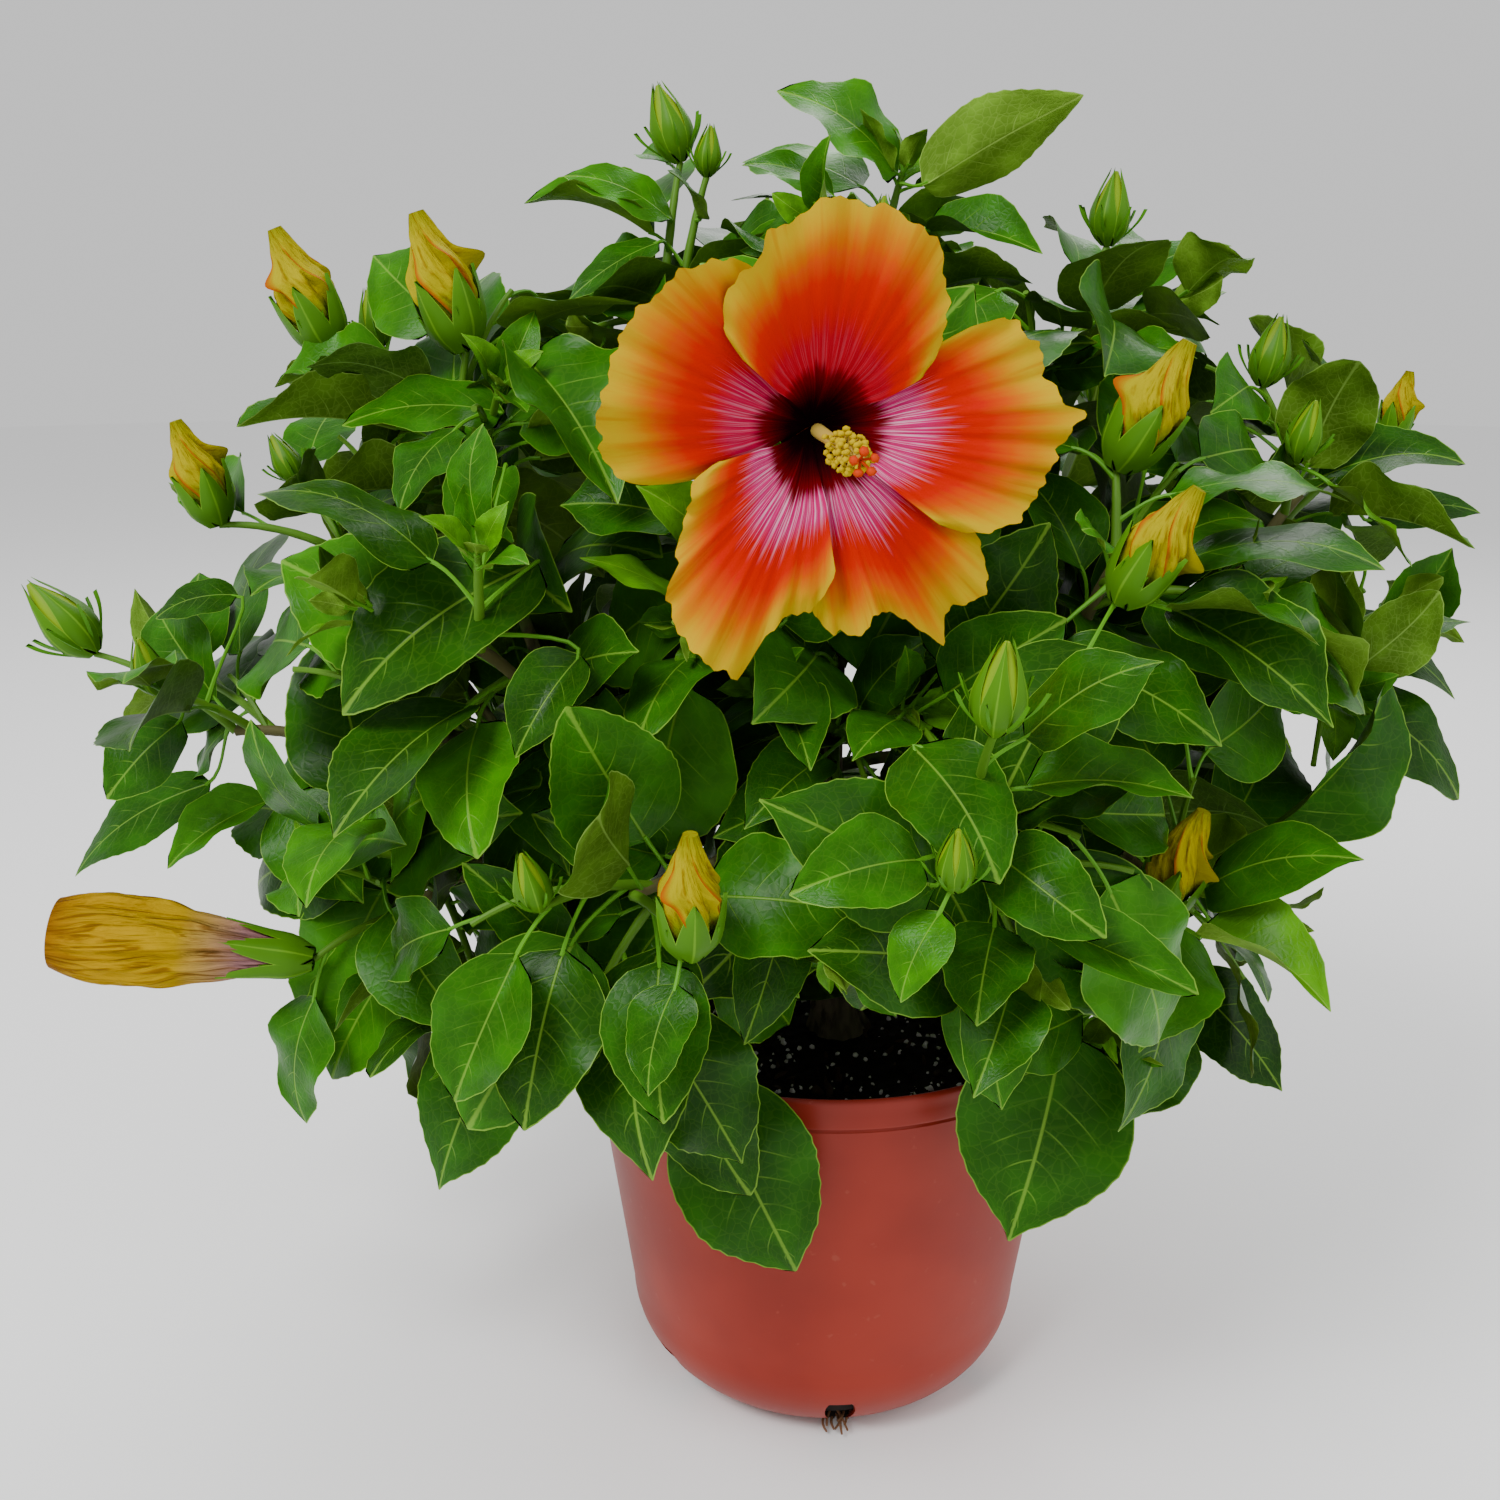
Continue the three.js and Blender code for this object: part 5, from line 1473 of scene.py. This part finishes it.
def petal_material(name, halo, streaks):
    """From the throat out: near black, wine red, a pink halo streaked with white veins, scarlet, orange,
    and a yellow rim. The bands waver along the veins."""
    material = new_material(name, (0.5, 0.05, 0.0), 0.6, 0.02)
    uv, u, v = grain(material)
    ray = noise(material, uv, 2.0, (34, 1.3, 1))
    cloud = noise(material, uv, 2.0, (3.0, 1.6, 1))
    aside = from_middle(material, u)
    corner = maths(material, "POWER", aside, 3.0)
    corner = maths(material, "MULTIPLY", corner, fade(material, v, 0.35, 0.8, 0.0, 0.13))
    waver = maths(material, "MULTIPLY_ADD", ray, 0.14, -0.07)
    drift = maths(material, "MULTIPLY_ADD", cloud, 0.22, -0.11)
    place = maths(material, "ADD", maths(material, "ADD", v, waver), maths(material, "ADD", drift, corner))
    bands = ramp(material, place, [*THROAT_BANDS, (0.34, halo), (0.45, halo), *RIM_BANDS])
    veins = maths(material, "PINGPONG", maths(material, "MULTIPLY", u, 17.0), 0.5)
    line = maths(material, "MULTIPLY", fade(material, veins, 0.02, 0.17, 1.0, 0.0),
                 fade(material, noise(material, uv, 2.0, (9, 4, 1)), 0.4, 0.62, 0.15, 0.8))
    thread = noise(material, uv, 1.0, (120, 2.0, 1))
    line = maths(material, "MAXIMUM", line, fade(material, thread, 0.52, 0.64, 0.0, 0.7))
    line = maths(material, "MULTIPLY", line, fade(material, place, 0.27, 0.35))
    line = maths(material, "MULTIPLY", line, fade(material, place, 0.42, 0.64, 1.0, 0.0))
    white = maths(material, "MULTIPLY", line, streaks, clamp=True)
    dark = maths(material, "MULTIPLY", fade(material, ray, 0.58, 0.7, 0.0, 0.3),
                 fade(material, v, 0.4, 0.7))
    streaked = blend(material, dark, bands, (0.36, 0.01, 0.0))
    paint(material, blend(material, white, streaked, (0.72, 0.40, 0.52)))
    raise_by(material, veins, 0.35, 0.0006)
    return material


ANTHERS = 84
STYLES = 5
# The dark cup as distances behind the blossom's middle and radii, up its outside and down its inside.
CUP = np.array([(32.5, 0.4), (28.5, 6.0), (21.3, 12.6), (20.5, 12.0), (27.0, 5.5), (30.5, 0.4)])


def column():
    """The column: a tube crowded past the petals with stalked anthers, five styles that part at its end, each
    with a round pad, and the dark cup that it stands in, where the petals meet."""
    rng = np.random.default_rng(3)
    axis = BLOOM_FACING
    start = BLOOM_CENTRE - axis * 20
    tall = COLUMN_LENGTH + 4
    t = np.linspace(0, 1, 14)
    body = lathes(start, axis, t[None] * tall, (2.4 - 0.9 * t)[None, :, None], 12, 0)
    share = np.arange(ANTHERS)[:, None] / ANTHERS
    out = turned_between(np.radians(GOLDEN_ANGLE) * np.arange(ANTHERS), bloom_right, bloom_top)
    root = start + axis * (0.55 + 0.44 * share) * tall + out * 1.2
    scatter = rng.uniform(0.1, 0.5, (ANTHERS, 1))
    heading = unit(out + axis * scatter + rng.normal(size=(ANTHERS, 3)) * 0.12)
    reach = rng.uniform(3.2, 5.6, (ANTHERS, 1)) * np.sin(math.pi * (0.25 + 0.7 * share)) ** 0.5
    tip = root + heading * reach
    bent = np.stack([root, root + heading * reach * 0.5, tip], 1)
    threads = tubes(bent, np.full((ANTHERS, 3), 0.28), 4, 0)
    anthers = blobs(tip, rng.uniform(1.05, 1.5, ANTHERS), 1, rng, (1, 1, 0.75))
    parting = turned_between(np.arange(STYLES) * 1.257 + 0.4, bloom_right, bloom_top)
    top = start + axis * tall * 0.99
    s = np.linspace(0, 1, 5)[None, :, None]
    paths = top + axis * 5.5 * s + parting[:, None] * 3.4 * s**1.5
    styles = tubes(paths, np.full((STYLES, 5), 0.45), 6, 2)
    pads = blobs(paths[:, -1], np.full(STYLES, 1.75), 2, rng, (1, 1, 0.8))
    cup = lathes(BLOOM_CENTRE, axis, -CUP[None, :, 0], CUP[None, :, 1:], 24, 3)
    return joined(body, threads, anthers, styles, pads, cup)


def ball():
    """A ball of 20 triangles: the corners of three golden rectangles."""
    g = (1 + 5**0.5) / 2
    corners = unit(np.array([(-1, g, 0), (1, g, 0), (-1, -g, 0), (1, -g, 0), (0, -1, g), (0, 1, g),
                             (0, -1, -g), (0, 1, -g), (g, 0, -1), (g, 0, 1), (-g, 0, -1), (-g, 0, 1)]))
    apart = np.linalg.norm(corners[:, None] - corners, axis=-1)
    near = (apart > 0.1) & (apart < 1.2)
    faces = [(i, j, k) for i in range(12) for j in range(i + 1, 12) for k in range(j + 1, 12)
             if near[i, j] and near[j, k] and near[i, k]]
    outward = [f if np.linalg.det(corners[list(f)]) > 0 else f[::-1] for f in faces]
    return corners, np.array(outward)


def blobs(centres, sizes, finish, rng, squash=(1, 1, 1), rough=0.0):
    """Small lumps: balls of 20 triangles, squashed, turned at random, and uneven by the share rough."""
    corners, faces = ball()
    count = len(centres)
    spin, _ = np.linalg.qr(rng.normal(size=(count, 3, 3)))
    spin = spin * np.sign(np.linalg.det(spin))[:, None, None]
    uneven = 1 + rough * rng.uniform(-1, 1, (count, len(corners), 1))
    points = (corners * np.array(squash))[None] * uneven @ spin
    points = points * np.asarray(sizes)[:, None, None] + np.asarray(centres)[:, None]
    corners_uv = np.full((len(faces), 3, 2), 0.5)
    faces, uv, finishes = spread(faces, corners_uv, finish, count, len(corners))
    return SimpleNamespace(points=points.reshape(-1, 3), faces=faces, uv=uv, finish=finishes)


def bloom_calyx():
    """The calyx and its bracts behind the petals, and the stalk that carries the blossom."""
    back = BLOOM_CENTRE - BLOOM_FACING * 30
    foot = ends_of("open")[0].base
    path = arch(foot, back - BLOOM_FACING * 12, 0.08)(np.linspace(0, 1, 10))
    seat = back - BLOOM_FACING * 14
    return joined(
        tubes(path[None], np.full((1, 10), 1.7), 10, 0),
        lobes(seat, BLOOM_FACING, [20.0], CALYX, LOBES, 0.35, 1, cut=0.3),
        bracts(seat, BLOOM_FACING[None], np.array([24.0]), out=0.3, finish=2),
    )


petal_materials = [
    petal_material("petal_upper", (0.34, 0.0, 0.010), 0.06),
    petal_material("petal_left", (0.38, 0.001, 0.040), 0.3),
    petal_material("petal_lower", (0.44, 0.006, 0.11), 0.9),
    new_material("petal_back", (0.42, 0.08, 0.0), 0.6, 0.05),
]
make_piece("open_blossom", petals(), petal_materials, [], crease=70, tiles=2)
make_piece("column_and_anthers", column(), [
    new_material("column_cream", (0.48, 0.34, 0.06), 0.5, 0.1),
    new_material("anther_yellow", (0.46, 0.33, 0.0), 0.6, 0.05),
    new_material("stigma_orange", (0.48, 0.035, 0.0), 0.5, 0.1),
    new_material("throat_maroon", (0.010, 0.0, 0.001), 0.6, 0.02),
], [])
make_piece("blossom_calyx", bloom_calyx(), [stalk_green, calyx_ribbed, bract_green], [], tiles=2)

# ---- trunk, stems and boughs ------------------------------------------------------------------------


def limb_skin(path, radius, sides, seed, relief, finish):
    """A limb's bark: a tube whose skin is unevenly ridged along it and swollen in rings at old leaf scars."""
    along = np.linspace(0, 1, len(path))
    turn = np.arange(sides) / sides * 2 * math.pi
    tall = np.linalg.norm(np.diff(path, axis=0), axis=1).sum()
    spots = np.stack(np.broadcast_arrays(
        np.cos(turn) * 9, np.sin(turn) * 9, along[:, None] * tall * 0.28), -1)
    uneven = ripple(spots, 5, seed) + 0.6 * ripple(spots * 2.3, 5, seed + 1)
    rings = np.exp(-(((along * tall / 17 + seed * 0.37) % 1 - 0.5) / 0.07) ** 2)
    skin = radius[:, None] * (1 + relief * uneven + 0.07 * rings[:, None])
    return tubes(path[None], skin[None], sides, finish)


def trunk():
    """The trunk from the soil to the fork: flared at the root, and swollen at the fork."""
    t = np.linspace(0, 1, 26)
    foot = np.array([*TRUNK_FOOT, SOIL_TOP - 3.0])
    path = foot + (np.array(FORK, float) + UP * 3 - foot) * t[:, None]
    radius = TRUNK_RADIUS + ROOT_FLARE * (1 - t) ** 4 + FORK_SWELL * t * t
    radius = radius * np.where(t > 0.93, 1 - 2.2 * (t - 0.93), 1)
    return limb_skin(path, radius, 40, 2, 0.10, 0)


# Of a limb's skin: steps, how far it goes as a share of the limb, sides, relief of the bark, and finish.
STEM_SKIN = (46, 1, 20, 0.08, 1)
BOUGH_SKIN = (20, 1.06, 12, 0.05, 2)


def limb_skins():
    """The skins of the trunk, the stems and the boughs, which reach a little way into their twigs."""
    shapes = [trunk()]
    for n, limb in enumerate(limbs):
        steps, end, sides, relief, finish = STEM_SKIN if limb.name.startswith("stem") else BOUGH_SKIN
        t = np.linspace(0, end, steps)
        path = limb.curve(np.minimum(t, 1)) + tangent(limb.curve, 1) * (np.maximum(t - 1, 0) * 60)[:, None]
        radius = limb.radius(np.minimum(t, 1)) + 1.6 * np.exp(-t * 16)
        shapes.append(limb_skin(path, radius, sides, 10 + n, relief, finish))
    return joined(*shapes)


def bark_material(name, dark, light, green):
    """Bark: a dark and a light brown in streaks along the limb, and green where the wood is young."""
    material = new_material(name, light, 0.85, 0.2)
    spot = add_node(material, "ShaderNodeTexCoord").outputs["Object"]
    streak = noise(material, spot, 5.0, (260, 260, 90))
    patch = noise(material, spot, 2.0, scale=55.0)
    wood = blend(material, fade(material, streak, 0.38, 0.62), dark, light)
    paint(material, blend(material, fade(material, patch, 0.45, 0.62, 0.0, 0.7), wood, green))
    raise_by(material, streak, 0.5, 0.0008)
    return material


make_piece("bark_of_trunk_and_boughs", limb_skins(), [
    bark_material("bark_old", (0.045, 0.032, 0.02), (0.19, 0.15, 0.10), (0.12, 0.11, 0.06)),
    bark_material("bark_stem", (0.055, 0.040, 0.02), (0.17, 0.14, 0.08), (0.10, 0.13, 0.04)),
    bark_material("bark_bough", (0.060, 0.055, 0.022), (0.14, 0.14, 0.05), (0.10, 0.17, 0.035)),
], ["trunk"] + [limb.name for limb in limbs], crease=80)

# ---- pot and soil -----------------------------------------------------------------------------------

POT_SIDES = 144
SOIL_SIDES = 120


def wall_radius(z):
    """Radius of the pot's outer wall at a height: it widens evenly from the base."""
    return BASE_RADIUS + (RIM_RADIUS - BAND_STEP - BASE_RADIUS) * z / (POT_HEIGHT - BAND_DEPTH)


def wall_section(inset, top, rows):
    """Half section of the pot set in by a distance, from the axis: floor, rounded corner and wall."""
    corner = CORNER_RADIUS - inset
    centre = wall_radius(CORNER_RADIUS) - CORNER_RADIUS
    a = np.linspace(0, math.pi / 2, 15)
    bend = np.stack([centre + corner * np.sin(a), CORNER_RADIUS - corner * np.cos(a)], -1)
    z = np.linspace(CORNER_RADIUS, top, rows)[1:]
    floor = np.stack([np.linspace(4, centre, 7)[:-1], np.full(6, float(inset))], -1)
    return np.vstack([floor, bend, np.stack([wall_radius(z) - inset, z], -1)])


def pot_shell():
    """The pot: floor, rounded corner, wall, a groove, the rim band with a rolled lip, and the wall inside.
    Its skin wavers by a fifth of a millimetre as moulded plastic does."""
    under = POT_HEIGHT - BAND_DEPTH
    outer = wall_section(0, under - 2.6, 22)
    band = np.array([(RIM_RADIUS - BAND_STEP - 0.9, under - 2.0), (RIM_RADIUS - BAND_STEP - 1.0, under - 0.8),
                     (RIM_RADIUS - 0.5, under - 0.2), (RIM_RADIUS - 0.1, under + 0.8),
                     (RIM_RADIUS - 0.5, under + 5), (RIM_RADIUS - 0.4, POT_HEIGHT - 4),
                     (RIM_RADIUS + 0.1, POT_HEIGHT - 2.2), (RIM_RADIUS - 0.1, POT_HEIGHT - 0.9),
                     (RIM_RADIUS - 1.0, POT_HEIGHT - 0.1), (RIM_RADIUS - 2.0, POT_HEIGHT - 0.5),
                     (RIM_RADIUS - 2.6, POT_HEIGHT - 2.0)])
    inner = wall_section(WALL, POT_HEIGHT - 4, 12)[::-1]
    section = np.vstack([outer, band, inner])
    turn = np.arange(POT_SIDES) * 2 * math.pi / POT_SIDES
    waver = 0.2 * np.sin(3 * turn + 0.5) + 0.12 * np.sin(7 * turn + 2)
    share = np.clip(section[:, 1] / POT_HEIGHT, 0, 1)[:, None]
    radii = section[:, :1] + waver * share
    return lathes(np.zeros(3), UP, section[None, :, 1], radii[None], POT_SIDES, 0)


def pot_material():
    """Satin terracotta-coloured plastic with faint clouds and small paler scuffs."""
    material = new_material("pot_plastic", (0.25, 0.018, 0.007), 0.42, 0.25)
    spot = add_node(material, "ShaderNodeTexCoord").outputs["Object"]
    cloud = noise(material, spot, 3.0, scale=14.0)
    scuffs = noise(material, spot, 3.0, scale=160.0)
    ground = blend(material, fade(material, cloud, 0.35, 0.68), (0.22, 0.014, 0.005), (0.28, 0.022, 0.009))
    speck = fade(material, scuffs, 0.68, 0.76, 0.0, 0.35)
    paint(material, blend(material, speck, ground, (0.36, 0.08, 0.05)))
    raise_by(material, scuffs, 0.08, 0.0006)
    return material


# A drain slot: its middle as distance out and up, half its width, how much longer it is, and its tilt.
SLOT_PLACE = (66, 8)
SLOT_RADIUS = 4.5
SLOT_LONGER = 1.45
SLOT_TILT = 55
CUTTER_LENGTH = 50


def out_at(angle):
    """The level direction at an angle round the pot."""
    return np.array([math.cos(angle), math.sin(angle), 0.0])


def cut_drain_holes(pot):
    """Takes the drain holes out of the lower corner: rounded slots, evenly round the pot."""
    cutters = []
    for k in range(DRAIN_HOLES):
        turn = math.radians(DRAIN_FIRST + 360 / DRAIN_HOLES * k)
        place = (out_at(turn) * SLOT_PLACE[0] + UP * SLOT_PLACE[1]) * MM
        bpy.ops.mesh.primitive_cylinder_add(vertices=20, radius=SLOT_RADIUS * MM, depth=CUTTER_LENGTH * MM,
                                            location=place)
        slot = bpy.context.object
        slot.scale = (1.0, SLOT_LONGER, 1.0)
        slot.rotation_euler = (0, math.radians(SLOT_TILT), turn)
        cutters.append(slot)
    for slot in cutters:
        cut = pot.modifiers.new("hole", "BOOLEAN")
        cut.object, cut.operation, cut.solver = slot, "DIFFERENCE", "EXACT"
    bpy.context.view_layer.update()
    graph = bpy.context.evaluated_depsgraph_get()
    cut_mesh = bpy.data.meshes.new_from_object(pot.evaluated_get(graph))
    pot.modifiers.clear()
    pot.data = cut_mesh
    for slot in cutters:
        bpy.data.objects.remove(slot)


pot_piece = make_piece("pot_shell", pot_shell(), [pot_material()], ["pot"], crease=40)
cut_drain_holes(pot_piece)


SOIL_SINK = 2.5
# Loose bits: how many, least and greatest size, squash, unevenness.
SOIL_BITS = [
    (900, 0.8, 2.2, (1, 0.8, 0.6), 0.3),
    (170, 1.6, 4.2, (1.5, 0.5, 0.3), 0.25),
    (460, 0.5, 1.7, (1, 0.9, 0.8), 0.25),
]


def soil_lumps(points, rim):
    """How far the soil's top rises at each point: lumps of three sizes, which die out within 4 mm of the
    rim."""
    lumps = 1.6 * ripple(points, 14, 4) + 1.1 * ripple(points, 5, 5) + 0.7 * ripple(points, 2.6, 6)
    return lumps * np.clip((rim - np.hypot(points[:, 0], points[:, 1])) / 4, 0, 1)


def soil_body():
    """The soil: the inside of the pot, and a lumpy top."""
    wall = wall_section(WALL + 0.5, SOIL_TOP - 4, 8)
    rim = wall[-1, 0]
    share = np.linspace(0.995, 0.02, 48)
    section = np.vstack([wall, np.stack([share * rim, np.full(48, SOIL_TOP - SOIL_SINK)], -1)])
    shape = lathes(np.zeros(3), UP, section[None, :, 1], section[None, :, :1], SOIL_SIDES, 0)
    top = shape.points[:, 2] > SOIL_TOP - 3
    shape.points[:, 2] += np.where(top, soil_lumps(shape.points, rim), 0)
    return shape


def soil_bits():
    """Loose bits on the soil: dark crumbs, slivers of bark, and white grains of perlite."""
    rng = np.random.default_rng(8)
    rim = wall_radius(SOIL_TOP) - WALL - 3

    def scatter(count):
        out = rim * np.sqrt(rng.uniform(0.03, 1, count))
        turn = rng.uniform(0, 2 * math.pi, count)
        spots = np.stack([out * np.cos(turn), out * np.sin(turn), np.full(count, SOIL_TOP - SOIL_SINK)], -1)
        spots[:, 2] += soil_lumps(spots, rim) + 0.2
        return spots

    return joined(*(
        blobs(scatter(count), rng.uniform(least, most, count), finish, rng, squash, rough)
        for finish, (count, least, most, squash, rough) in enumerate(SOIL_BITS)
    ))


soil_dark = new_material("soil_dark", (0.012, 0.009, 0.007), 0.95, 0.15)
make_piece("potting_soil", soil_body(), [soil_dark], ["soil"], crease=70)
make_piece("soil_crumbs_and_perlite", soil_bits(), [
    new_material("soil_crumb", (0.020, 0.014, 0.010), 0.95, 0.15),
    new_material("bark_sliver", (0.055, 0.032, 0.018), 0.9, 0.2),
    new_material("perlite", (0.85, 0.83, 0.80), 0.9, 0.2),
], [], crease=20)


ROOTS = 9
ROOT_CRUMBS = 16


def rootlets():
    """Thin roots and crumbs that poke out of the drain hole at the front."""
    rng = np.random.default_rng(21)
    turn = math.radians(DRAIN_FIRST)
    out, across = out_at(turn), np.cross(UP, out_at(turn))

    def dice(low, high, count=ROOTS):
        return rng.uniform(low, high, (count, 1))

    t = np.linspace(0, 1, 8)[None, :, None]
    start = out * 62 + UP * 9 + across * dice(-5, 5) + UP * dice(-3, 3)
    end = out * dice(71, 77) + across * dice(-7.5, 7.5) + UP * dice(2.2, 7)
    bend = across * dice(-4, 4)
    path = start[:, None] * (1 - t) + end[:, None] * t + bend[:, None] * np.sin(math.pi * t)
    crumbs = out * 67 + across * dice(-5, 5, ROOT_CRUMBS) + UP * dice(5, 12, ROOT_CRUMBS)
    return joined(tubes(path, np.tile(np.linspace(0.9, 0.45, 8), (ROOTS, 1)), 6, 0),
                  blobs(crumbs, rng.uniform(1.0, 2.4, ROOT_CRUMBS), 1, rng, rough=0.3))


make_piece("rootlets", rootlets(), [new_material("root_brown", (0.16, 0.075, 0.035), 0.8, 0.2), soil_dark],
           [])


# ---- floor, light and camera ------------------------------------------------------------------------

FLOOR_RADIUS = 6.0
WORLD_STRENGTH = 0.8
LIGHT_TARGET = np.array([0.0, 0.0, 0.3])
# Lights: name, place, size, power.
LIGHTS = [
    ("key", (-0.9, -1.3, 1.9), 0.8, 48),
    ("fill", (1.4, -0.9, 1.2), 1.4, 10),
    ("rim", (0.3, 1.5, 1.7), 1.2, 20),
]


def stage_floor():
    """A wide pale disc under the pot."""
    bpy.ops.mesh.primitive_circle_add(vertices=96, radius=FLOOR_RADIUS, fill_type="NGON", location=(0, 0, 0))
    floor = bpy.context.object
    floor.name = "floor"
    floor.data.materials.append(new_material("floor_white", (0.93, 0.93, 0.93), 0.9, 0.1))


def soft_light(name, place, size, power):
    """A square light that faces the plant's middle."""
    light = bpy.data.lights.new(name, "AREA")
    light.size = size
    light.energy = power
    lamp = bpy.data.objects.new(name, light)
    lamp.location = place
    towards = LIGHT_TARGET - np.array(place)
    flat = math.hypot(towards[0], towards[1])
    lamp.rotation_euler = (math.atan2(flat, -towards[2]), 0, math.atan2(-towards[0], towards[1]))
    bpy.context.scene.collection.objects.link(lamp)


def studio():
    """A white world and three soft lights."""
    world = bpy.data.worlds.new("studio")
    world.use_nodes = True
    world.node_tree.nodes["Background"].inputs["Color"].default_value = (1, 1, 1, 1)
    world.node_tree.nodes["Background"].inputs["Strength"].default_value = WORLD_STRENGTH
    bpy.context.scene.world = world
    for row in LIGHTS:
        soft_light(*row)


CAMERA_PLACE = (0.0, -0.6588, 0.4758)
CAMERA_PITCH = 15.95
CAMERA_YAW = 2.95
CAMERA_LENS = 38.4


def set_camera():
    """The camera stands before the plant, a little above it, and looks down and slightly to the left."""
    data = bpy.data.cameras.new("camera")
    data.lens = CAMERA_LENS
    data.sensor_width = 36
    data.clip_start = 0.01
    camera = bpy.data.objects.new("camera", data)
    camera.location = CAMERA_PLACE
    camera.rotation_euler = (math.radians(90 - CAMERA_PITCH), 0, math.radians(CAMERA_YAW))
    bpy.context.scene.collection.objects.link(camera)
    bpy.context.scene.camera = camera


stage_floor()
studio()
set_camera()
